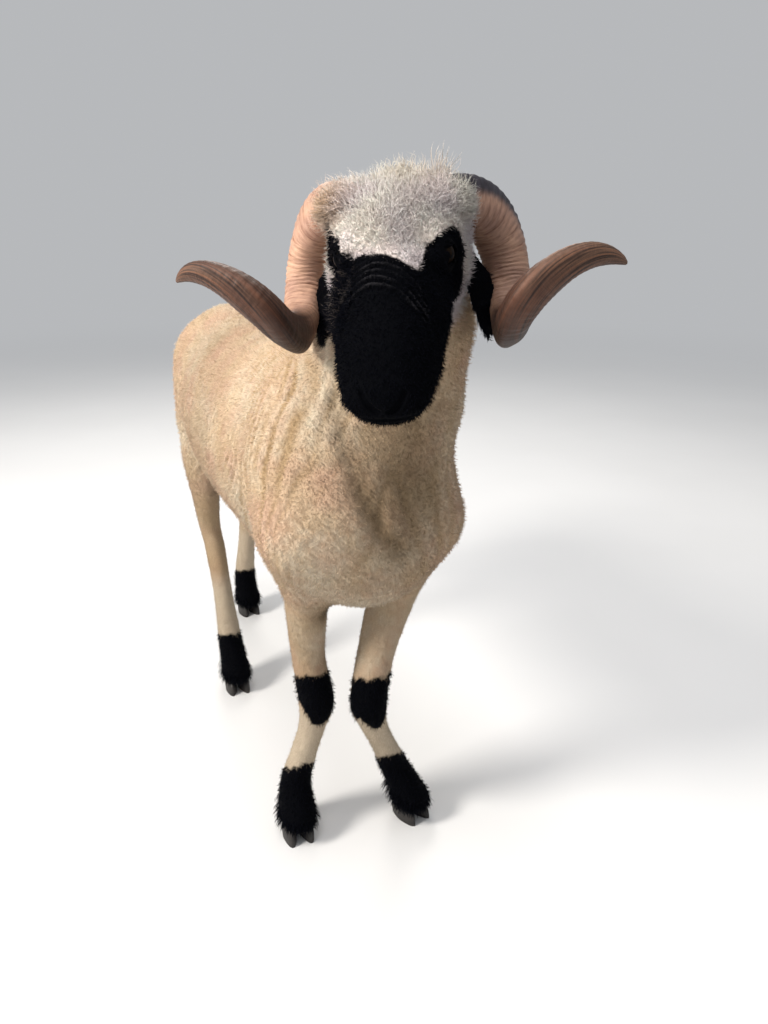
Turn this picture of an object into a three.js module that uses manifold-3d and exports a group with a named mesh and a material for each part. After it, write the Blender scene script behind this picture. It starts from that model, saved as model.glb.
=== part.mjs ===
// Valais blacknose ram, standing and freshly shorn. Millimetres, +Z up, facing -Y, its left side at +X.
// The shape is a field made of rods and ovals. Each solid is a loft whose points are found by sending
// rays from its middle line to the field. All sizes are estimates from one photograph.
import * as THREE from "three";
import { mergeVertices } from "three/addons/utils/BufferGeometryUtils.js";
import Module from "manifold-3d";

const wasm = await Module();
wasm.setup();

const GAP = 0.3;
const TAU = Math.PI * 2;
const SIDES = [["left", 1], ["right", -1]];

// Small vector helpers on plain arrays.
const add = (a, b) => [a[0] + b[0], a[1] + b[1], a[2] + b[2]];
const sub = (a, b) => [a[0] - b[0], a[1] - b[1], a[2] - b[2]];
const scale = (a, k) => [a[0] * k, a[1] * k, a[2] * k];
const dot = (a, b) => a[0] * b[0] + a[1] * b[1] + a[2] * b[2];
const cross = (a, b) => [
  a[1] * b[2] - a[2] * b[1], a[2] * b[0] - a[0] * b[2], a[0] * b[1] - a[1] * b[0]];
const length = (a) => Math.hypot(a[0], a[1], a[2]);
const unit = (a) => scale(a, 1 / length(a));
const mix = (a, b, t) => a + (b - a) * t;
const mixPoint = (a, b, t) => [mix(a[0], b[0], t), mix(a[1], b[1], t), mix(a[2], b[2], t)];
const clamp = (x, low, high) => Math.min(Math.max(x, low), high);
const squareToward = (v, along) => unit(sub(v, scale(along, dot(v, along))));

// A seeded random number source, so that the wool comes out the same each time.
function seeded(seed) {
  let state = seed;
  return () => {
    state = (state * 1664525 + 1013904223) >>> 0;
    return state / 4294967296;
  };
}

// Value at x of a smooth line through rows of [x, value, value, ...].
function through(rows, x, column) {
  const last = rows.length - 1;
  const at = clamp(x, rows[0][0], rows[last][0]);
  let i = 0;
  while (i < last - 1 && at > rows[i + 1][0]) {
    i += 1;
  }
  const slope = (j) => {
    const low = rows[Math.max(j - 1, 0)];
    const high = rows[Math.min(j + 1, last)];
    return (high[column] - low[column]) / (high[0] - low[0]);
  };
  const span = rows[i + 1][0] - rows[i][0];
  const t = (at - rows[i][0]) / span;
  const t2 = t * t;
  const t3 = t2 * t;
  return (2 * t3 - 3 * t2 + 1) * rows[i][column] + (t3 - 2 * t2 + t) * span * slope(i)
    + (3 * t2 - 2 * t3) * rows[i + 1][column] + (t3 - t2) * span * slope(i + 1);
}

// Field pieces: negative inside, in millimetres.
function blend(a, b, k) {
  const h = clamp(0.5 + 0.5 * (b - a) / k, 0, 1);
  return b + (a - b) * h - k * h * (1 - h);
}
const blendAll = (fields, k) => (p) => fields.map((f) => f(p)).reduce((a, b) => blend(a, b, k));

function ovalValue(x, y, z, rx, ry, rz) {
  const k0 = Math.hypot(x / rx, y / ry, z / rz) + 1e-9;
  const k1 = Math.hypot(x / (rx * rx), y / (ry * ry), z / (rz * rz)) + 1e-9;
  return k0 * (k0 - 1) / k1;
}
const oval = (at, r) => (p) => ovalValue(p[0] - at[0], p[1] - at[1], p[2] - at[2], ...r);

// Tapered rod of oval section. Stations hold x, y, z, half-width sideways, half-width fore and aft.
function rod(from, to) {
  const a = from.slice(0, 3);
  const b = to.slice(0, 3);
  const along = unit(sub(b, a));
  const reach = length(sub(b, a));
  const side = squareToward([1, 0, 0], along);
  const fore = cross(along, side);
  return (p) => {
    const q = sub(p, a);
    const h = clamp(dot(q, along) / reach, 0, 1);
    const rs = mix(from[3], to[3], h);
    const rf = mix(from[4], to[4], h);
    return ovalValue(dot(q, side), dot(q, fore), dot(q, along) - h * reach, rs, rf, Math.min(rs, rf));
  };
}
const chain = (stations, k) => blendAll(stations.slice(1).map((s, i) => rod(stations[i], s)), k);

// Barrel of the body: y, top, bottom, half-width, narrowing towards the top.
const TRUNK = [
  [-140, 606, 532, 34, 0], [-134, 640, 500, 60, 0], [-119, 676, 464, 88, 0], [-92, 710, 440, 112, 0.04],
  [-45, 745, 424, 131, 0.06], [20, 785, 416, 140, 0.02], [130, 788, 424, 145, 0.06],
  [290, 775, 442, 147, 0.1], [430, 775, 466, 142, 0.1], [540, 788, 498, 125, 0.12],
  [630, 785, 528, 108, 0.1], [700, 760, 560, 87, 0.05], [742, 720, 592, 60, 0],
  [758, 692, 620, 36, 0], [764, 676, 638, 18, 0]];
const TRUNK_ENDS = [TRUNK[0][0], TRUNK[TRUNK.length - 1][0]];

// Beyond its ends the barrel closes steeply, which keeps chest and rump blunt.
const END_STEEP = 4;
function barrel(p) {
  const y = clamp(p[1], ...TRUNK_ENDS);
  const top = through(TRUNK, y, 1);
  const bottom = through(TRUNK, y, 2);
  const high = (top - bottom) / 2;
  const u = (p[2] - (top + bottom) / 2) / high;
  const wide = through(TRUNK, y, 3) * (1 - through(TRUNK, y, 4) * clamp(u, -1, 1));
  const k = Math.hypot(p[0] / wide, u);
  const g = Math.hypot(p[0] / (wide * wide), u / high) / Math.max(k, 1e-6) + 1e-6;
  return (k - 1) / g + Math.abs(p[1] - y) * END_STEEP;
}

// Legs, from inside the body down to the coronet: x, y, z, half-width sideways, half-width fore and aft.
const LEGS = {
  fore_right: [[-80, -14, 560, 40, 50], [-76, -16, 500, 38, 48], [-67, 14, 400, 33, 42],
    [-60, 33, 320, 29, 37], [-52, 26, 240, 31, 36], [-56, 34, 195, 25, 29], [-70, 42, 140, 25, 27],
    [-84, 46, 88, 28, 31], [-90, 26, 45, 32, 39]],
  fore_left: [[90, -14, 560, 42, 52], [89, -18, 500, 45, 50], [60, -5, 400, 38, 43],
    [34, -9, 320, 31, 38], [17, -18, 240, 31, 36], [30, -6, 195, 26, 29], [55, 6, 140, 25, 27],
    [78, 14, 88, 29, 31], [96, -8, 45, 33, 39]],
  hind_right: [[-52, 620, 660, 28, 60], [-76, 592, 580, 36, 88], [-89, 564, 500, 36, 70],
    [-86, 560, 430, 31, 51], [-76, 588, 345, 25, 36], [-70, 582, 300, 24, 34], [-66, 552, 200, 23, 28],
    [-62, 532, 100, 28, 31], [-62, 500, 45, 31, 39]],
  hind_left: [[52, 640, 660, 28, 60], [76, 622, 580, 36, 88], [88, 650, 500, 36, 64],
    [82, 702, 430, 31, 44], [70, 788, 345, 25, 34], [67, 800, 300, 24, 34], [62, 822, 200, 23, 28],
    [60, 850, 100, 28, 31], [60, 838, 45, 31, 39]]};

// Heights at which a leg changes from one part to the next, from the top down.
const LEG_CUTS = {
  fore: [["leg", 436], ["knee", 272], ["cannon", 186], ["foot", 122]],
  hind: [["thigh", 505], ["shank", 345], ["foot", 118]]};

// Shoulders, thighs and neck are chains of rods that swell out of the barrel.
const SHOULDERS = SIDES.flatMap(([, s]) => [
  rod([s * 72, 50, 700, 30, 70], [s * 98, -48, 548, 44, 54]),
  rod([s * 98, -48, 548, 44, 54], [s * 77 + 7, 10, 485, 40, 49])]);
const THIGHS = SIDES.map(([, s]) => rod([s * 58, 650, 690, 36, 66], [s * 78, 600, 575, 38, 82]));
const NECK = [[6, 8, 640, 120, 142], [23, -45, 730, 105, 112], [32, -86, 820, 84, 84],
  [14, -106, 885, 75, 68]];

// Field of a leg: an oval at each height, wider fore and aft where the leg slopes.
function legField(stations) {
  const rows = stations.map((s) => [-s[2], s[0], s[1], s[3], s[4]]);
  const [highest, lowest] = [stations[0][2], stations[stations.length - 1][2]];
  return (p) => {
    const z = clamp(p[2], lowest, highest);
    const slope = (through(rows, 2 - z, 2) - through(rows, -2 - z, 2)) / 4;
    const side = through(rows, -z, 3);
    const fore = through(rows, -z, 4);
    return ovalValue(p[0] - through(rows, -z, 1), p[1] - through(rows, -z, 2), p[2] - z,
      side, fore * Math.hypot(1, slope), Math.min(side, fore));
  };
}
const legFields = Object.fromEntries(Object.entries(LEGS).map(([name, s]) => [name, legField(s)]));
const shoulderField = blendAll(SHOULDERS, 30);
const neckField = chain(NECK, 50);
const thighField = blendAll(THIGHS, 20);
const trunkField = (p) => blend(blend(barrel(p), shoulderField(p), 50), thighField(p), 50);
const hostOf = (name) => name.split("_")[0];
const topCut = (name) => LEG_CUTS[hostOf(name)][0][1];
const stubs = Object.keys(LEGS).map((name) => (p) => Math.max(legFields[name](p), topCut(name) - 4 - p[2]));
const fleshField = (p) => stubs.reduce((value, stub) => blend(value, stub(p), 30), trunkField(p));

// Head frame: origin between the eyes, x to its left, y to the back, z up; nose bent down and turned right.
const HEAD_AT = [-24.6, -190.9, 906];
const [NOSE_DOWN, TURN, LEAN] = [29.5, 31, 3.1].map((a) => a * Math.PI / 180);
const HEAD_PLACE = new THREE.Matrix4().makeRotationY(LEAN)
  .multiply(new THREE.Matrix4().makeRotationX(-NOSE_DOWN))
  .multiply(new THREE.Matrix4().makeRotationZ(TURN)).transpose().setPosition(...HEAD_AT);
const HEAD_BACK = HEAD_PLACE.clone().invert();
const moved = (matrix, p) => new THREE.Vector3(...p).applyMatrix4(matrix).toArray();

const SKULL = [[0, 75, -12, 50, 56], [0, 20, -12, 55, 56], [0, -50, -30, 49, 50],
  [0, -110, -50, 49, 42], [0, -150, -62, 47, 33]];
const skullField = blendAll([chain(SKULL, 30), ...SIDES.flatMap(([, s]) => [
  rod([s * 36, 50, -62, 17, 42], [s * 24, -60, -78, 15, 22]),
  oval([s * 46, 6, 12], [19, 30, 24]),
  oval([s * 40, -45, -40], [18, 45, 30])])], 24);
const crownField = blendAll([oval([0, 62, 14], [62, 58, 38]), oval([0, 22, 17], [52, 42, 30]),
  ...SIDES.map(([, s]) => oval([s * 58, 45, -32], [27, 43, 52])),
  ...SIDES.map(([, s]) => oval([s * 56, 72, 18], [30, 34, 25]))], 30);
const headField = (q) => blend(skullField(q), crownField(q), 30);

// Distance along a ray at which it leaves the field.
function reachOf(field, from, toward, limit) {
  let near = 0;
  let far = limit;
  let t = 0;
  while (t < limit) {
    const value = field(add(from, scale(toward, t)));
    if (value > 0) {
      far = t;
      break;
    }
    near = t;
    t += Math.max(-value * 0.8, 2);
  }
  if (t >= limit) {
    return limit;
  }
  for (let i = 0; i < 12; i += 1) {
    const middle = (near + far) / 2;
    if (field(add(from, scale(toward, middle))) > 0) {
      far = middle;
    } else {
      near = middle;
    }
  }
  return (near + far) / 2;
}

// Closed solid from rings of equal count, with a pole at each end.
function solidOf(rings, start, end) {
  const around = rings[0].length;
  const points = [start, ...rings.flat(), end];
  const index = [];
  const at = (i, j) => 1 + i * around + (j % around);
  const last = points.length - 1;
  for (let j = 0; j < around; j += 1) {
    index.push(0, at(0, j + 1), at(0, j));
    for (let i = 0; i < rings.length - 1; i += 1) {
      index.push(at(i, j), at(i, j + 1), at(i + 1, j + 1), at(i, j), at(i + 1, j + 1), at(i + 1, j));
    }
    index.push(last, at(rings.length - 1, j), at(rings.length - 1, j + 1));
  }
  return rightWayOut(asManifold(points, index), points, index);
}

function asManifold(points, index) {
  return new wasm.Mesh({
    numProp: 3,
    vertProperties: Float32Array.from(points.flat()),
    triVerts: Uint32Array.from(index)});
}

// Turns the faces round where the volume comes out negative.
function rightWayOut(mesh, points, index) {
  let volume = 0;
  for (let i = 0; i < index.length; i += 3) {
    volume += dot(points[index[i]], cross(points[index[i + 1]], points[index[i + 2]]));
  }
  if (volume < 0) {
    for (let i = 0; i < index.length; i += 3) {
      [index[i + 1], index[i + 2]] = [index[i + 2], index[i + 1]];
    }
    return new wasm.Manifold(asManifold(points, index));
  }
  return new wasm.Manifold(mesh);
}

// Angles that leave equal lengths of outline between neighbouring rays.
function evenAngles(radiusAt, around) {
  const fine = around * 3;
  const points = [];
  for (let j = 0; j <= fine; j += 1) {
    const angle = TAU * j / fine;
    const r = radiusAt(angle);
    points.push([Math.cos(angle) * r, Math.sin(angle) * r]);
  }
  const run = [0];
  for (let j = 1; j <= fine; j += 1) {
    run.push(run[j - 1] + Math.hypot(points[j][0] - points[j - 1][0], points[j][1] - points[j - 1][1]));
  }
  const angles = [];
  let j = 0;
  for (let i = 0; i < around; i += 1) {
    const goal = run[fine] * i / around;
    while (run[j + 1] < goal) {
      j += 1;
    }
    angles.push(TAU * (j + (goal - run[j]) / (run[j + 1] - run[j])) / fine);
  }
  return angles;
}

// Loft of a field round a middle line. Both ends close with a fan of rays from the end points.
function loft(field, line, options) {
  const { around, up, fans = [5, 5], limit = 400, even = false, grow = 0 } = options;
  const grown = (p) => field(p) - grow;
  const tangents = line.map((_, i) => unit(sub(
    line[Math.min(i + 1, line.length - 1)], line[Math.max(i - 1, 0)])));
  const stops = [];
  for (let i = fans[0]; i > 0; i -= 1) {
    stops.push([line[0], scale(tangents[0], -1), i / (fans[0] + 1), tangents[0]]);
  }
  line.forEach((point, i) => stops.push([point, tangents[i], 0, tangents[i]]));
  const lastTangent = tangents[line.length - 1];
  for (let i = 1; i <= fans[1]; i += 1) {
    stops.push([line[line.length - 1], lastTangent, i / (fans[1] + 1), lastTangent]);
  }
  const rings = stops.map(([from, pole, tilt, along]) => {
    const first = squareToward(up, along);
    const second = cross(along, first);
    const lean = tilt * Math.PI / 2;
    const rayAt = (angle) => add(
      scale(add(scale(first, Math.cos(angle)), scale(second, Math.sin(angle))), Math.cos(lean)),
      scale(pole, Math.sin(lean)));
    const limitHere = typeof limit === "function" ? limit(from) : limit;
    const radiusAt = (angle) => reachOf(grown, from, rayAt(angle), limitHere);
    const angles = even ? evenAngles(radiusAt, around)
      : Array.from({ length: around }, (_, j) => TAU * j / around);
    return angles.map((angle) => add(from, scale(rayAt(angle), radiusAt(angle))));
  });
  const poleLimit = typeof limit === "function" ? limit(line[0]) : limit;
  const startWay = scale(tangents[0], -1);
  const start = add(line[0], scale(startWay, reachOf(grown, line[0], startWay, poleLimit)));
  const from = line[line.length - 1];
  const end = add(from, scale(lastTangent, reachOf(grown, from, lastTangent, poleLimit)));
  return solidOf(rings, start, end);
}

const lineBetween = (a, b, count) => Array.from(
  { length: count }, (_, i) => mixPoint(a, b, i / (count - 1)));

function shaped(geometry, matrix) {
  const copy = geometry.index ? geometry.clone() : geometry;
  copy.deleteAttribute("normal");
  copy.deleteAttribute("uv");
  const merged = mergeVertices(copy, 1e-4);
  if (matrix) {
    merged.applyMatrix4(matrix);
  }
  return new wasm.Manifold(new wasm.Mesh({
    numProp: 3,
    vertProperties: Float32Array.from(merged.attributes.position.array),
    triVerts: Uint32Array.from(merged.index.array)}));
}

function block(low, high) {
  const size = sub(high, low);
  const middle = mixPoint(low, high, 0.5);
  return shaped(new THREE.BoxGeometry(...size), new THREE.Matrix4().makeTranslation(...middle));
}

function largest(solid) {
  const parts = solid.decompose();
  parts.sort((a, b) => b.volume() - a.volume());
  return parts[0];
}

const FAR = 2000;
const above = (z) => block([-FAR, -FAR, z], [FAR, FAR, FAR]);
const below = (z) => block([-FAR, -FAR, -FAR], [FAR, FAR, z]);

// A block whose face stands square to a line; it fills the side towards which the line runs.
function beyond(point, along) {
  const turn = new THREE.Matrix4().lookAt(
    new THREE.Vector3(), new THREE.Vector3(...along), new THREE.Vector3(0.1, 0, 1).normalize());
  const shift = new THREE.Matrix4().makeTranslation(...point);
  const box = new THREE.BoxGeometry(FAR, FAR, FAR).translate(0, 0, -FAR / 2);
  return shaped(box, shift.multiply(turn));
}

// Legs as whole lofts, then cut at their heights.
const LEG_AROUND = 12;
const LEG_TOPS = { fore: 500, hind: 640 };
const LEG_STEP = 25;
const FLARE = { fore: 7, hind: 20 };
function legLine(name) {
  const stations = LEGS[name].map((s) => [-s[2], s[0], s[1]]);
  const heights = [];
  for (let z = LEG_TOPS[hostOf(name)]; z > 64; z -= LEG_STEP) {
    heights.push(z);
  }
  return [...heights, 60, 46, 33].map((z) => [through(stations, -z, 1), through(stations, -z, 2), z]);
}
function legSolid(name) {
  const field = legFields[name];
  const line = legLine(name);
  const rings = line.map((from) => {
    const flare = FLARE[hostOf(name)] * clamp((topCut(name) + 40 - from[2]) / 40, 0, 1);
    const flared = (p) => Math.max(blend(field(p), trunkField(p), 30), field(p) - flare);
    const shape = from[2] > topCut(name) - 110 ? flared : field;
    return Array.from({ length: LEG_AROUND }, (_, j) => {
      const angle = TAU * j / LEG_AROUND;
      const toward = [Math.cos(angle), Math.sin(angle), 0];
      return add(from, scale(toward, reachOf(shape, from, toward, 150)));
    });
  });
  return solidOf(rings, line[0], line[line.length - 1]);
}

// Claws: outlines stacked from the flat sole upwards; [height, length, width, lean back].
const CLAW_STEPS = [[0, 60, 23, 0], [17, 57, 23, 3], [38, 36, 15, 13]];
const CLAW_AROUND = 10;
const FEET = {
  fore_right: { at: [-91, 24], turn: -4 },
  fore_left: { at: [97, -8], turn: 14 },
  hind_right: { at: [-62, 496], turn: -2 },
  hind_left: { at: [60, 836], turn: 4 }};

function clawSolid(foot, side, grow) {
  const { at, turn } = FEET[foot];
  const angle = turn * Math.PI / 180;
  const splay = side * 4 * Math.PI / 180;
  const rings = CLAW_STEPS.map(([z, long, wide, back], i) => {
    const ring = [];
    for (let j = 0; j < CLAW_AROUND; j += 1) {
      const a = TAU * j / CLAW_AROUND;
      const fore = Math.cos(a);
      const taper = 1 - 0.22 * Math.max(fore, 0);
      const u = Math.sin(a) * taper * (wide / 2 + grow);
      const v = -fore * (long / 2 + grow) + back;
      const x = side * 13.5 + u * Math.cos(splay) - v * Math.sin(splay);
      const y = u * Math.sin(splay) + v * Math.cos(splay);
      const up = i === 0 ? z : z + grow;
      ring.push([at[0] + x * Math.cos(angle) - y * Math.sin(angle),
        at[1] + x * Math.sin(angle) + y * Math.cos(angle), up]);
    }
    return ring;
  });
  const centre = (ring) => scale(ring.reduce(add), 1 / ring.length);
  return solidOf(rings, centre(rings[0]), centre(rings[rings.length - 1]));
}

// Horn: a helix that shrinks towards the tip, in the head frame; its low turn is pushed outwards.
const HORN = { at: [39.2, 73.9, -38.7], radius: 71.7, shrink: 0.2816, start: 83.2, sweep: 412.3,
  reach: 216.4, flare: 1.1077, axis: [1, -0.6735, -0.0253],
  low: { middle: 0.54, spread: 0.19, shift: [14, 0, 8] } };
// Rows hold the place along the horn, from root to tip, and the half-width there.
const HORN_WIDTHS = [[0, 24], [0.1, 26], [0.2, 28], [0.28, 28], [0.36, 26], [0.48, 23], [0.6, 20.5],
  [0.72, 20.5], [0.79, 19], [0.87, 14.5], [0.94, 9.5], [0.985, 5], [1, 2.5]];
const HORN_RINGS = 37;
const HORN_AROUND = 10;

function hornFrame(s) {
  const axis = unit(HORN.axis);
  const front = squareToward([0, -1, 0], axis);
  const top = cross(axis, front)[2] > 0 ? cross(axis, front) : cross(front, axis);
  const angle = (HORN.start + HORN.sweep * s) * Math.PI / 180;
  const early = 1 - 0.27 * Math.max(0, 1 - s / 0.36) ** 1.5;
  const radius = HORN.radius * (1 - HORN.shrink * s) * early;
  const out = add(scale(front, Math.cos(angle)), scale(top, Math.sin(angle)));
  const low = Math.exp(-(((s - HORN.low.middle) / HORN.low.spread) ** 2));
  const centre = add(add(HORN.at, scale(axis, HORN.reach * s ** HORN.flare)), scale(HORN.low.shift, low));
  const middle = add(centre, scale(out, radius));
  return { middle, out };
}
function hornSolid(side, grow) {
  const rings = [];
  const middles = [];
  for (let i = 0; i < HORN_RINGS; i += 1) {
    const s = 1 - (1 - i / (HORN_RINGS - 1)) ** 1.06;
    const { middle, out } = hornFrame(s);
    const ahead = hornFrame(Math.min(s + 0.01, 1)).middle;
    const behind = hornFrame(Math.max(s - 0.01, 0)).middle;
    const along = unit(sub(ahead, behind));
    const first = squareToward(out, along);
    const second = cross(along, first);
    const r = through(HORN_WIDTHS, s, 1) + grow;
    middles.push(middle);
    rings.push(Array.from({ length: HORN_AROUND }, (_, j) => {
      const a = TAU * j / HORN_AROUND;
      const keel = 1 + 0.1 * Math.cos(3 * a) * (1 - s * 0.5);
      return add(middle, add(scale(first, Math.cos(a) * r * keel * 1.08),
        scale(second, Math.sin(a) * r * keel * 0.96)));
    }));
  }
  const mirror = (p) => moved(HEAD_PLACE, [p[0] * side, p[1], p[2]]);
  return solidOf(rings.map((ring) => ring.map(mirror)), mirror(middles[0]),
    mirror(middles[middles.length - 1]));
}

// Ear: a hanging leaf with a hollow on its inner side, behind and below the eye.
const EAR_LINE = [[58, 58, -24, 12, 9], [74, 55, -42, 15, 9], [88, 46, -64, 19, 8],
  [96, 34, -87, 21, 7], [99, 24, -107, 17, 6], [98, 16, -121, 9, 5], [97, 12, -127, 3, 3]];
function earSolid(side, grow) {
  const middles = EAR_LINE.map((s) => s.slice(0, 3));
  const rings = EAR_LINE.map((s, i) => {
    const along = unit(sub(middles[Math.min(i + 1, middles.length - 1)], middles[Math.max(i - 1, 0)]));
    const wide = squareToward([0.25, 0.75, 0.6], along);
    const thick = cross(along, wide);
    return Array.from({ length: 12 }, (_, j) => {
      const a = TAU * j / 12;
      const across = Math.cos(a);
      const cup = 7 * across * across * (s[3] / 24);
      return add(s, add(scale(wide, across * (s[3] + grow)),
        scale(thick, Math.sin(a) * (s[4] * 0.7 + grow) - cup)));
    });
  });
  const mirror = (p) => moved(HEAD_PLACE, [p[0] * side, p[1], p[2]]);
  return solidOf(rings.map((ring) => ring.map(mirror)), mirror(middles[0]),
    mirror(middles[middles.length - 1]));
}

const group = new THREE.Group();
const COLOURS = { fleece: 0xd9c3a5, crown: 0xe2d8cc, black: 0x14121a, horn: 0x7a5444, eye: 0x1b1208,
  claw: 0x2a2622, skin: 0x3f2c24 };

// Adds a solid to the group as a named node, without any loose crumbs a cut may have left.
function keep(name, solid, colour, roughness = 0.9) {
  const mesh = largest(solid).getMesh();
  const geometry = new THREE.BufferGeometry();
  geometry.setAttribute("position", new THREE.Float32BufferAttribute(mesh.vertProperties, 3));
  geometry.setIndex(new THREE.BufferAttribute(mesh.triVerts, 1));
  const material = new THREE.MeshStandardMaterial({ color: COLOURS[colour], roughness });
  const node = new THREE.Mesh(geometry, material);
  node.name = name;
  group.add(node);
}

// Trunk, with the tops of the legs and the root of the neck joined on.
function trunkSolid(grow) {
  return loft(fleshField, lineBetween([0, 20, 590], [0, 660, 655], 20),
    { around: 38, up: [0, 0, 1], fans: [6, 6], even: true, grow });
}
const NECK_LINE = lineBetween([4, 20, 640], [22, -45, 730], 5)
  .concat(lineBetween([27, -62, 768], [4, -112, 895], 6));
const NECK_CUT = { at: [8, -60, 738], along: unit([0, -0.62, 0.78]) };
const neckLoft = (grow) => {
  const field = (p) => Math.max(blend(neckField(p), trunkField(p), 50), neckField(p) - 50);
  return loft(field, NECK_LINE, { around: 28, up: [0, 1, 0.6], fans: [2, 3], limit: 240, grow });
};
const legs = Object.fromEntries(Object.keys(LEGS).map((name) => [name, legSolid(name)]));
const neckWhole = neckLoft(0);
const neckBack = beyond(NECK_CUT.at, NECK_CUT.along);
let torso = trunkSolid(0);
for (const name of Object.keys(LEGS)) {
  torso = torso.add(legs[name].intersect(above(topCut(name))));
}
torso = torso.add(neckWhole.subtract(neckBack));
torso = torso.subtract(neckBack.intersect(above(700)));

// Head, with the wool of the crown as rounded clumps.
const HEAD_LINE = lineBetween([0, 80, 0], [0, -135, -58], 16);
const headWhole = (grow) => loft(headField, HEAD_LINE,
  { around: 28, up: [0, 0, 1], fans: [5, 6], grow });
const placed = (solid) => solid.transform(HEAD_PLACE.elements.slice());
const unplaced = (solid) => solid.transform(HEAD_BACK.elements.slice());
const MASK_CUT = [0, -12, 0];
const MASK_WAY = unit([0, -1, -0.5]);
const maskBlock = beyond(MASK_CUT, MASK_WAY);
const maskBlockShifted = beyond(add(MASK_CUT, scale(MASK_WAY, GAP)), MASK_WAY);

// Rounded clumps of crown wool, and tapered locks that stand up from the poll. Roots are sunk in.
const CLUMPS = 34;
const LOCKS = 6;
const CLUMP_SHAPE = new THREE.SphereGeometry(1, 6, 4);

function crownPoint(random) {
  const across = (random() * 2 - 1) * 1.7;
  const back = mix(-12, 118, random());
  const from = [0, clamp(back, 0, 78), 0];
  const toward = unit([Math.sin(across), (back - from[1]) / 60, Math.cos(across)]);
  const t = reachOf(headField, from, toward, 200);
  return { at: add(from, scale(toward, t)), out: toward };
}
function clumpSolid(random) {
  const { at, out } = crownPoint(random);
  const size = mix(14, 20, random());
  const turn = new THREE.Matrix4().lookAt(
    new THREE.Vector3(), new THREE.Vector3(...out), new THREE.Vector3(0, 1, 0.1).normalize());
  const place = new THREE.Matrix4().makeTranslation(...add(at, scale(out, -size * 0.34)));
  place.multiply(turn).multiply(new THREE.Matrix4().makeRotationZ(random() * TAU));
  place.multiply(new THREE.Matrix4().makeScale(size * 1.2, size, size * 0.75));
  return { solid: shaped(CLUMP_SHAPE, place), at };
}
function lockSolid(from, toward, long, wide) {
  const side = squareToward([0.3, 1, 0.1], toward);
  const thick = cross(toward, side);
  const rings = [0, 0.35, 0.7, 0.93].map((t) => {
    const middle = add(add(from, scale(toward, long * t)), scale(thick, long * 0.22 * t * t));
    const r = wide * (1 - 0.8 * t ** 1.5);
    return Array.from({ length: 6 }, (_, j) => {
      const a = TAU * j / 6;
      return add(middle, add(scale(side, Math.cos(a) * r), scale(thick, Math.sin(a) * r * 0.55)));
    });
  });
  const tip = add(add(from, scale(toward, long)), scale(thick, long * 0.22));
  return solidOf(rings, from, tip);
}
const farFrom = (p, centre, gap) => length(sub(p, centre)) > gap;

const rough = headWhole(0);
let wool = rough;
const chance = seeded(11);
for (let i = 0; i < CLUMPS; i += 1) {
  const { solid, at } = clumpSolid(chance);
  if (SIDES.every(([, s]) => farFrom(at, [s * 62, -2, 2], 34))) {
    wool = wool.add(solid);
  }
}
for (let i = 0; i < LOCKS; i += 1) {
  const across = mix(0.35, 1, chance());
  const from = [across * 46, mix(72, 100, chance()), 24];
  const toward = unit([across * 0.5, mix(0.2, 0.6, chance()), 1]);
  wool = wool.add(lockSolid(from, toward, mix(26, 34, chance()), mix(9, 12, chance())));
}
let muzzle = rough.intersect(maskBlockShifted);

// Mouth line, nostrils and the furrow between them are grooves that follow the muzzle's surface.
const MUZZLE_MIDDLE = [0, -148, -60];
const onMuzzle = (from, toward) => add(from, scale(toward, reachOf(headField, from, toward, 200)));

function grooveSolid(points, widths) {
  const rings = points.map((point, i) => {
    const along = unit(sub(points[Math.min(i + 1, points.length - 1)], points[Math.max(i - 1, 0)]));
    const first = squareToward([0.1, 1, 0.3], along);
    const second = cross(along, first);
    return Array.from({ length: 6 }, (_, j) => {
      const a = TAU * j / 6;
      return add(point, scale(add(scale(first, Math.cos(a)), scale(second, Math.sin(a))), widths(i)));
    });
  });
  return solidOf(rings, points[0], points[points.length - 1]);
}
const mouthPoints = Array.from({ length: 21 }, (_, i) => {
  const t = i / 10 - 1;
  const back = 46 * Math.max(Math.abs(t) - 0.55, 0) / 0.45;
  const from = add(MUZZLE_MIDDLE, [0, back, 0]);
  return onMuzzle(from, unit([Math.sin(t * 1.7), -Math.cos(t * 1.7), -0.36]));
});
const furrowPoints = [-0.34, -0.2, -0.06, 0.06].map((z) => onMuzzle(MUZZLE_MIDDLE, unit([0, -1, z])));
muzzle = muzzle.subtract(grooveSolid(mouthPoints, (i) => 2.8 - 0.08 * Math.abs(i - 10)));
muzzle = muzzle.subtract(grooveSolid(furrowPoints, () => 2.2));
for (const [, s] of SIDES) {
  const points = Array.from({ length: 7 }, (_, i) => {
    const t = i / 6;
    return onMuzzle(MUZZLE_MIDDLE, unit([s * (0.17 + 0.5 * t), -1 + 0.35 * t, 0.5 * t ** 1.4]));
  });
  muzzle = muzzle.subtract(grooveSolid(points, (i) => 5.2 - 0.55 * Math.abs(i - 2)));
}

let neck = neckWhole.intersect(beyond(add(NECK_CUT.at, scale(NECK_CUT.along, GAP)), NECK_CUT.along));
const roughGrown = headWhole(GAP);
const grownHead = placed(roughGrown);
neck = neck.subtract(grownHead);

// Horns and ears grow out of the head; the wool is cut clear of them.
const grownNeck = neckLoft(GAP);
for (const [label, s] of SIDES) {
  const grownHorn = hornSolid(s, GAP * 1.5);
  const ear = earSolid(s, 0).subtract(grownHead).subtract(grownNeck).subtract(grownHorn);
  keep(`horn_${label}`, hornSolid(s, 0).subtract(grownHead).subtract(grownNeck), "horn", 0.5);
  keep(`ear_${label}`, ear, "black");
  const besideWool = grownHorn.add(earSolid(s, GAP));
  wool = wool.subtract(unplaced(besideWool).subtract(roughGrown));
}
let head = wool.subtract(maskBlock);

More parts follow.
